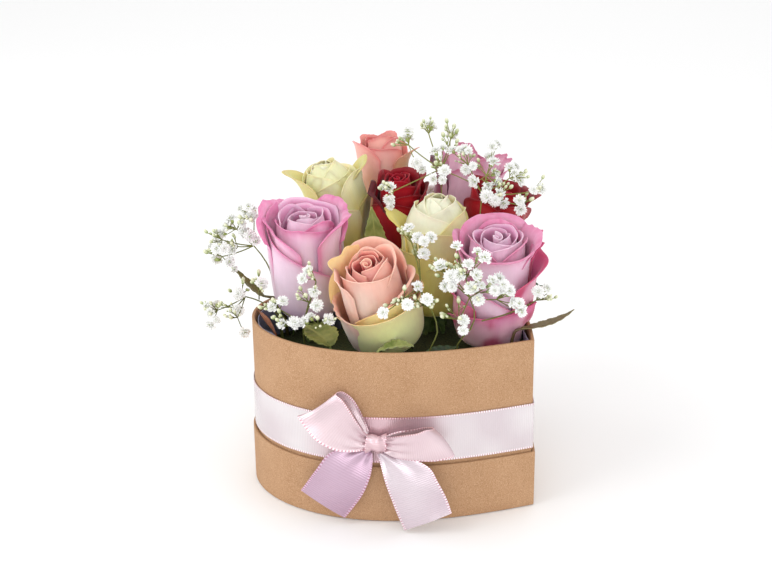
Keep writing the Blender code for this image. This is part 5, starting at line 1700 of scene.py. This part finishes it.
class SprayBuilder:
    """Twigs, double florets and buds of the gypsophila."""

    floret_room: float = 3.12
    neck: float = 2.4
    pair_apart: float = 4.9
    twig_radius: float = 0.32
    tiers: tuple = ((7, 3.7, 0.00, 0.0), (7, 3.2, 0.42, 0.45), (5, 2.5, 0.85, 0.2), (4, 1.7, 1.25, 0.9))

    def __init__(self) -> None:
        """Model one floret and one bud."""
        self.floret = self.make_floret()
        self.bud = self.make_bud()

    def make_floret(self) -> bpy.types.Object:
        """A double flower of notched petals in three tiers on a green cup, facing up."""
        petals = []
        for count, reach, lift, start in self.tiers:
            for k in range(count):
                petals.append(self.floret_petal(2 * math.pi * k / count + start, reach, lift, k % 2 == 1))
        flower = join(petals, "floret")
        apply_modifier(flower, "SOLIDIFY", thickness=0.16 * MM, offset=0.0)
        cup = self.make_cup(((-2.6, 0.35), (-2.2, 0.9), (-0.9, 1.15), (0.1, 1.0), (0.5, 0.4)), 6,
                            srgb(150, 170, 90), srgb(206, 214, 150))
        return join([flower, cup], "floret")

    def floret_petal(self, turn: float, reach: float, lift: float, odd: bool) -> bpy.types.Object:
        """One small notched petal.

        Args:
            turn: Its direction in radians.
            reach: Its length.
            lift: How steeply it stands, in radians.
            odd: Whether it is one of those that curl down.

        Returns:
            The painted petal.
        """
        white, shade, eye = srgb(252, 252, 250), srgb(228, 231, 228), srgb(196, 206, 112)
        out = Vector((math.cos(turn), math.sin(turn), 0.0))
        side = Vector((-out.y, out.x, 0.0))
        shape = out * math.cos(lift) + UP * math.sin(lift)
        tints = []

        def place(u: float, v: float) -> Vector:
            """A point of the petal, u across and v along."""
            across = 2.0 * u - 1.0
            half = reach * (0.08 + 0.30 * v ** 0.7)
            teeth = 0.20 * (abs(across) < 0.2) + 0.26 * (abs(across) > 0.9)
            notch = reach * v * v * (teeth - 0.05 * odd)
            curl = reach * v * v * (0.24 if odd else -0.12)
            pucker = 0.12 * reach * v * (1.0 if 0.2 < abs(across) < 0.9 else -0.6)
            # Painted shade: each petal is greyer towards its base, after the green eye.
            tints.append(blend(eye, blend(shade, white, v), ramp(v, 0.0, 0.35)))
            middle = shape * (0.25 + (reach - 0.25) * v - notch)
            return middle + side * across * half - UP * (curl - pucker - lift * 0.7)

        petal = grid_sheet("floret_petal", 4, 2, place)
        paint(petal, "tint", tints)
        return petal

    def make_bud(self) -> bpy.types.Object:
        """A round closed bud, cream over a green cup."""
        profile = ((-1.7, 0.3), (-1.3, 0.8), (-0.3, 1.15), (0.6, 1.1), (1.3, 0.65), (1.6, 0.1))
        return self.make_cup(profile, 7, srgb(140, 160, 80), srgb(236, 236, 210))

    def make_cup(self, profile: Sequence[tuple[float, float]], sides: int, low: Colour,
                 high: Colour) -> bpy.types.Object:
        """A small turned body.

        Args:
            profile: Heights and radii from bottom to top.
            sides: Faces round.
            low: Colour at the bottom.
            high: Colour at the top.

        Returns:
            The closed body.
        """
        deselect()
        bpy.ops.mesh.primitive_cylinder_add(vertices=sides, radius=1.0, depth=1.0, end_fill_type="TRIFAN")
        cup = bpy.context.active_object
        bottom, top = profile[0][0], profile[-1][0]
        with editing(cup):
            for height, _ in profile[1:-1]:
                bpy.ops.mesh.select_all(action="SELECT")
                level = (height - bottom) / (top - bottom) - 0.5
                bpy.ops.mesh.bisect(plane_co=(0.0, 0.0, level), plane_no=(0.0, 0.0, 1.0))
        tints = []
        for vert in cup.data.vertices:
            height = bottom + (vert.co.z + 0.5) * (top - bottom)
            _, radius = min(profile, key=lambda step: abs(step[0] - height))
            tints.append(blend(low, high, (height - bottom) / (top - bottom)))
            vert.co = Vector((vert.co.x * radius, vert.co.y * radius, height)) * MM
        paint(cup, "tint", tints)
        return cup

    def copy(self, master: bpy.types.Object, place: Vector, facing: Vector, turn: float,
             size: float) -> bpy.types.Object:
        """A copy of a master with its own mesh, put in its place."""
        made = master.copy()
        made.data = master.data.copy()
        bpy.context.scene.collection.objects.link(made)
        aim = facing.to_track_quat("Z", "Y").to_matrix().to_4x4()
        move = Matrix.Translation(place * MM) @ aim @ Matrix.Rotation(turn, 4, "Z") @ Matrix.Scale(size, 4)
        made.data.transform(move)
        return made

    def grow_forks(self, growth: Growth) -> None:
        """The stem, and a fork from it to each head."""
        thick = self.twig_radius
        stem = [*planted(growth.spray.hole), *(clear_of_blooms(p, 1.2) for p in growth.spray.route)]
        growth.twigs.append([(p, thick * (1.5 - 0.12 * i)) for i, p in enumerate(stem)])
        for head in growth.spray.heads:
            base = clear_of_blooms(head, 1.6)
            fork = min(stem[2:], key=lambda p: (p - base).length)
            run = base - fork
            knee = clear_of_blooms(fork + run * 0.5 - UP * 0.08 * run.length, 1.2)
            growth.twigs.append([(fork, thick * 1.1), (knee, thick), (base, thick * 0.9)])
            growth.forks.append((base, (base - knee).normalized()))

    def set_florets(self, growth: Growth) -> None:
        """A floret at each place of the plan, some with a smaller one beside."""
        chance, thick = growth.chance, self.twig_radius
        for place in growth.spray.florets:
            tip = within_box(clear_of_blooms(place, self.floret_room))
            base, _ = min(growth.forks, key=lambda fork: (fork[0] - tip).length)
            facing = ((tip - base).normalized() * 0.75 + TO_VIEWER * 0.35 + UP * 0.35).normalized()
            neck = tip - facing * self.neck
            middle = clear_of_blooms(base.lerp(neck, 0.5) - UP * 0.5, 0.8)
            growth.twigs.append([(base, thick * 0.8), (middle, thick * 0.7), (neck, thick * 0.75)])
            size = chance.uniform(0.84, 1.06)
            growth.flowers.append(self.copy(self.floret, tip, facing, chance.uniform(0.0, 6.0), size))
            if chance.random() < growth.spray.pairs:
                away = growth.turned(facing)
                near = tip + away * self.pair_apart - facing * chance.uniform(-1.0, 2.0)
                near = within_box(clear_of_blooms(near, self.floret_room))
                lean = (facing + away * 0.7).normalized()
                growth.twigs.append([(middle, thick * 0.7), (near - lean * 2.2, thick * 0.7)])
                turn, size = chance.uniform(0.0, 6.0), chance.uniform(0.65, 0.9)
                growth.flowers.append(self.copy(self.floret, near, lean, turn, size))

    def set_buds(self, growth: Growth) -> None:
        """Buds round the end of each fork, each on a twig with a smaller one beside."""
        chance, thick = growth.chance, self.twig_radius
        for base, along in growth.forks:
            for _ in range(growth.spray.buds):
                lean = math.radians(chance.uniform(15.0, 70.0))
                out = growth.turned(along)
                way = along * math.cos(lean) + out * math.sin(lean)
                way.z = abs(way.z)
                tip = within_box(clear_of_blooms(base + way * chance.uniform(5.0, 11.0), 1.8))
                facing = ((tip - base).normalized() + UP * 0.4).normalized()
                growth.twigs.append([(base, thick * 0.7), (base.lerp(tip, 0.5) - UP * 0.3, thick * 0.6),
                                     (tip - facing * 1.4, thick * 0.6)])
                growth.flowers.append(self.copy(self.bud, tip, facing, 0.0, chance.uniform(0.55, 1.0)))
                aside = (way + out * chance.uniform(0.6, 1.4)).normalized()
                aside.z = abs(aside.z)
                fork = base.lerp(tip, 0.45)
                spot = clear_of_blooms(fork + aside * chance.uniform(2.5, 5.0), 1.2)
                growth.twigs.append([(fork, thick * 0.6), (spot - aside * 0.9, thick * 0.5)])
                growth.flowers.append(self.copy(self.bud, spot, aside, 0.0, chance.uniform(0.35, 0.7)))

    def build(self, spray: Spray, finish: bpy.types.Material) -> None:
        """Make one spray: stem, twigs, florets and buds.

        Args:
            spray: Its plan.
            finish: Material that shows the tint.
        """
        growth = Growth(spray, random.Random(spray.node))
        self.grow_forks(growth)
        self.set_florets(growth)
        self.set_buds(growth)
        twigs = tubes("twigs", growth.twigs, 1)
        low, high = srgb(96, 100, 44), srgb(138, 140, 74)
        paint(twigs, "tint", [blend(low, high, ramp(v.co.z / MM, 80.0, 170.0)) for v in twigs.data.vertices])
        made = join([twigs] + growth.flowers, spray.node + "_flowers")
        smooth(made, 45)
        finish_piece(made, spray.node, "gypsophila", finish)

    def clear_up(self) -> None:
        """Remove the two masters."""
        for master in (self.floret, self.bud):
            bpy.data.objects.remove(master, do_unlink=True)


# Leaves.

@dataclass(frozen=True)
class Leaf:
    """A toothed, folded blade on a stalk."""

    node: str
    slot: str
    hole: tuple[float, float]
    foot: Place
    middle: Place
    tip: Place
    half_width: float
    blade: Colour
    edge: Colour
    teeth: int = 11

    def stalk(self) -> bpy.types.Object:
        """The stalk, from the foam into the blade, over the rim where the leaf hangs out."""
        foot, middle = Vector(self.foot), Vector(self.middle)
        hole, mouth = planted(self.hole)
        knee = mouth.lerp(foot, 0.6) + UP
        if foot.z > RIM_TOP:
            knee = hole.lerp(foot, 0.2)
            knee.z = RIM_TOP + 0.5
        path = [(hole, 0.9), (mouth, 0.9), (knee, 0.85), (foot, 0.7), (foot.lerp(middle, 0.3), 0.5)]
        stalk = tubes("stalk", [path], 2)
        paint(stalk, "tint", [self.blade] * len(stalk.data.vertices))
        return stalk

    def build(self, finish: bpy.types.Material) -> None:
        """Make the leaf with its stalk, from a material that shows the tint."""
        foot, middle, tip = Vector(self.foot), Vector(self.middle), Vector(self.tip)
        first_side = (middle - foot).normalized().cross(UP)
        if first_side.length < 0.5:
            first_side = (middle - foot).normalized().cross(TO_VIEWER)
        tints = []

        def place(u: float, v: float) -> Vector:
            """A point of the blade, u across and v along."""
            across = 2.0 * u - 1.0
            spot = foot * (1 - v) ** 2 + middle * 2 * v * (1 - v) + tip * v * v
            run = ((middle - foot) * (1 - v) + (tip - middle) * v).normalized()
            side = (first_side - run * first_side.dot(run)).normalized()
            up = side.cross(run)
            saw = 1.0 - (v * self.teeth % 1.0)
            half = self.half_width * math.sin(math.pi * min(1.0, 0.05 + 0.95 * v) ** 0.85)
            half = max(0.35, half * (0.90 + 0.14 * saw * abs(across) ** 6))
            fold = 0.28 * half * abs(across) ** 1.2
            ripple = 0.05 * self.half_width * math.sin(v * self.teeth * math.pi) * abs(across) ** 2
            vein = abs(math.sin((v * 6.0 + abs(across) * 1.1) * math.pi)) ** 8
            rib = math.exp(-(across / 0.07) ** 2)
            colour = blend(self.blade, self.edge, 0.65 * max(rib, 0.4 * vein, ramp(abs(across), 0.88, 1.0)))
            tints.append(blend(colour, self.edge, 0.35 + 0.7 * noise.noise(spot * 0.15)))
            return spot + side * across * half + up * (fold + ripple)

        blade = grid_sheet("blade", 12, 44, place)
        paint(blade, "tint", tints)
        apply_modifier(blade, "SOLIDIFY", thickness=0.4 * MM, offset=0.0)
        made = join([blade, self.stalk()], self.node + "_green")
        smooth(made, 45)
        finish_piece(made, self.node, self.slot, finish)


BROWN, TAN = srgb(88, 80, 38), srgb(132, 122, 66)
UMBER = srgb(98, 76, 46)
RUST, RUST_EDGE = srgb(132, 76, 48), srgb(168, 112, 80)
GREEN, PALE_GREEN = srgb(104, 122, 56), srgb(186, 190, 130)
DARK, DARK_EDGE = srgb(30, 52, 32), srgb(64, 92, 52)
OLIVE, OLIVE_EDGE = srgb(104, 116, 50), srgb(172, 174, 100)

LEAVES = (
    Leaf("leaf_left_tall", "leaf_brown", (-54, -24), (-63.5, -32, 92.6), (-71, -35, 97), (-81, -37, 109),
         3.6, BROWN, TAN),
    Leaf("leaf_rim_left", "leaf_rust", (-40, -48), (-40, -51, 84), (-48, -49, 90), (-57, -44, 90), 1.4,
         RUST, RUST_EDGE),
    Leaf("leaf_right", "leaf_brown", (70, 2), (75, 5, 93.5), (84, 18, 91.5), (87, 37, 96), 3.3, UMBER, TAN),
    Leaf("leaf_front_left", "leaf_dark", (-2, -52), (-4, -50, 84), (-14, -46, 88), (-26, -44, 88), 9.0,
         OLIVE, OLIVE_EDGE),
    Leaf("leaf_front", "leaf_green", (20, -47), (22, -46, 85), (31, -43, 91.5), (39, -38, 90), 6.0,
         GREEN, PALE_GREEN),
    Leaf("leaf_front_right", "leaf_dark", (43, -37), (44, -37, 84), (49, -30, 87), (55, -22, 88), 5.0,
         DARK, DARK_EDGE),
    Leaf("leaf_middle", "leaf_green", (-16, 10), (-14, 6, 100), (-12, 1, 122), (-15, 1, 143), 7.0,
         OLIVE, OLIVE_EDGE),
    Leaf("leaf_back_left", "leaf_dark", (-34, 52), (-38, 56, 93.5), (-48, 66, 99), (-60, 72, 96), 8.0,
         DARK, DARK_EDGE),
    Leaf("leaf_back", "leaf_green", (9, 59), (10, 64, 93), (17, 74, 96.5), (24, 84, 95), 8.0,
         GREEN, PALE_GREEN),
    Leaf("leaf_back_right", "leaf_dark", (48, 32), (50, 38, 93.5), (54, 48, 99), (60, 55, 97), 8.0,
         DARK, DARK_EDGE),
)


# Studio.

@dataclass(frozen=True)
class Lamp:
    """A soft square light, its place and aim in metres."""

    name: str
    place: Place
    size: float
    power: float
    aim: Place = (0.0, 0.0, 0.1)

    def hang(self) -> None:
        """Put the light in its place."""
        light = bpy.data.lights.new(self.name, "AREA")
        light.size = self.size
        light.energy = self.power
        lamp = bpy.data.objects.new(self.name, light)
        lamp.location = self.place
        way = Vector(self.aim) - Vector(self.place)
        lamp.rotation_euler = way.to_track_quat("-Z", "Y").to_euler()
        bpy.context.scene.collection.objects.link(lamp)


@dataclass(frozen=True)
class Studio:
    """Plain pale floor, soft lights and the photograph's camera, in metres and degrees."""

    eye: Place = (0.3988, -0.5505, 0.3519)
    target: Place = (-0.0083, 0.0039, 0.0973)
    roll: float = -0.711
    lens: float = 64.12
    sensor: float = 36.0
    near_clip: float = 0.01
    floor_size: float = 12.0
    floor_drop: float = 0.0004
    floor_grey: float = 0.95
    sky: float = 0.80
    lamps: tuple[Lamp, ...] = (
        Lamp("key", (-0.55, -1.15, 1.35), 0.8, 6.3),
        Lamp("front", (0.75, -1.05, 0.30), 1.0, 6.0),
        Lamp("side", (-1.15, -0.62, 0.25), 0.8, 5.0),
        Lamp("fill", (1.5, -0.1, 0.7), 1.0, 3.5),
        Lamp("top", (0.1, 0.5, 1.7), 1.2, 3.2),
        Lamp("backdrop", (-1.6, 2.3, 2.4), 3.0, 16.0, (-2.0, 3.1, 0.0)),
    )

    def floor(self) -> None:
        """Lay the floor just under the box."""
        deselect()
        bpy.ops.mesh.primitive_plane_add(size=self.floor_size, location=(0.0, 0.0, -self.floor_drop))
        floor = bpy.context.active_object
        floor.name = "floor"
        recipe = Recipe("studio_floor", 0.9)
        recipe.colour((self.floor_grey, self.floor_grey, self.floor_grey, 1.0))
        floor.data.materials.append(recipe.material)

    def light(self) -> None:
        """Set the even light all round, and hang the lamps."""
        world = bpy.data.worlds.new("studio")
        world.use_nodes = True
        background = world.node_tree.nodes["Background"]
        background.inputs["Color"].default_value = WHITE
        background.inputs["Strength"].default_value = self.sky
        bpy.context.scene.world = world
        for lamp in self.lamps:
            lamp.hang()

    def camera(self) -> None:
        """Stand the camera where the photograph was taken."""
        back = (Vector(self.eye) - Vector(self.target)).normalized()
        right = UP.cross(back).normalized()
        up = back.cross(right)
        turn = math.radians(self.roll)
        rolled_right = right * math.cos(turn) + up * math.sin(turn)
        rolled_up = up * math.cos(turn) - right * math.sin(turn)
        data = bpy.data.cameras.new("photo_camera")
        data.lens = self.lens
        data.sensor_width = self.sensor
        data.clip_start = self.near_clip
        camera = bpy.data.objects.new("photo_camera", data)
        camera.matrix_world = Matrix((
            (rolled_right.x, rolled_up.x, back.x, self.eye[0]),
            (rolled_right.y, rolled_up.y, back.y, self.eye[1]),
            (rolled_right.z, rolled_up.z, back.z, self.eye[2]),
            (0.0, 0.0, 0.0, 1.0),
        ))
        bpy.context.scene.collection.objects.link(camera)
        bpy.context.scene.camera = camera

    def build(self) -> None:
        """Set up the floor, the lights and the camera."""
        self.floor()
        self.light()
        self.camera()
        bpy.context.scene.view_settings.view_transform = "Standard"


def main() -> None:
    """Build every sub-assembly in order."""
    logging.basicConfig(level=logging.INFO, format="%(name)s: %(message)s")
    Studio().build()
    kraft = KraftFinish().build()
    film = PlainFinish("dark_film", srgb(84, 86, 104), srgb(146, 148, 172), scale=30.0, roughness=0.30,
                       depth=0.15).build()
    foam = PlainFinish("wet_foam", srgb(42, 50, 26), srgb(76, 82, 40), scale=900.0, roughness=0.95,
                       depth=0.4).build()
    HeartBox().build(kraft, film, foam)
    Ribbon().build(SatinFinish().build())
    for bloom in BLOOMS:
        finish = PetalFinish(bloom.node + "_petals", velvet=bloom.velvet).build()
        BloomBuilder(bloom, BLOOMS).build(finish)
    stem = PlainFinish("rose_stem", srgb(92, 112, 52), srgb(70, 92, 42), scale=400.0, roughness=0.55).build()
    for bloom in BLOOMS:
        RoseStem().build(bloom, stem)
    spray_finish = PlainFinish("gypsophila", WHITE, (0.94, 0.94, 0.95, 1.0), scale=900.0, depth=0.05,
                               tinted=True, shine=0.3).build()
    builder = SprayBuilder()
    for spray in SPRAYS:
        builder.build(spray, spray_finish)
    builder.clear_up()
    leaf_finish = PlainFinish("leaf_blades", WHITE, (0.78, 0.82, 0.74, 1.0), scale=500.0, roughness=0.42,
                              depth=0.2, tinted=True).build()
    for leaf in LEAVES:
        leaf.build(leaf_finish)


if __name__ == "__main__":
    main()
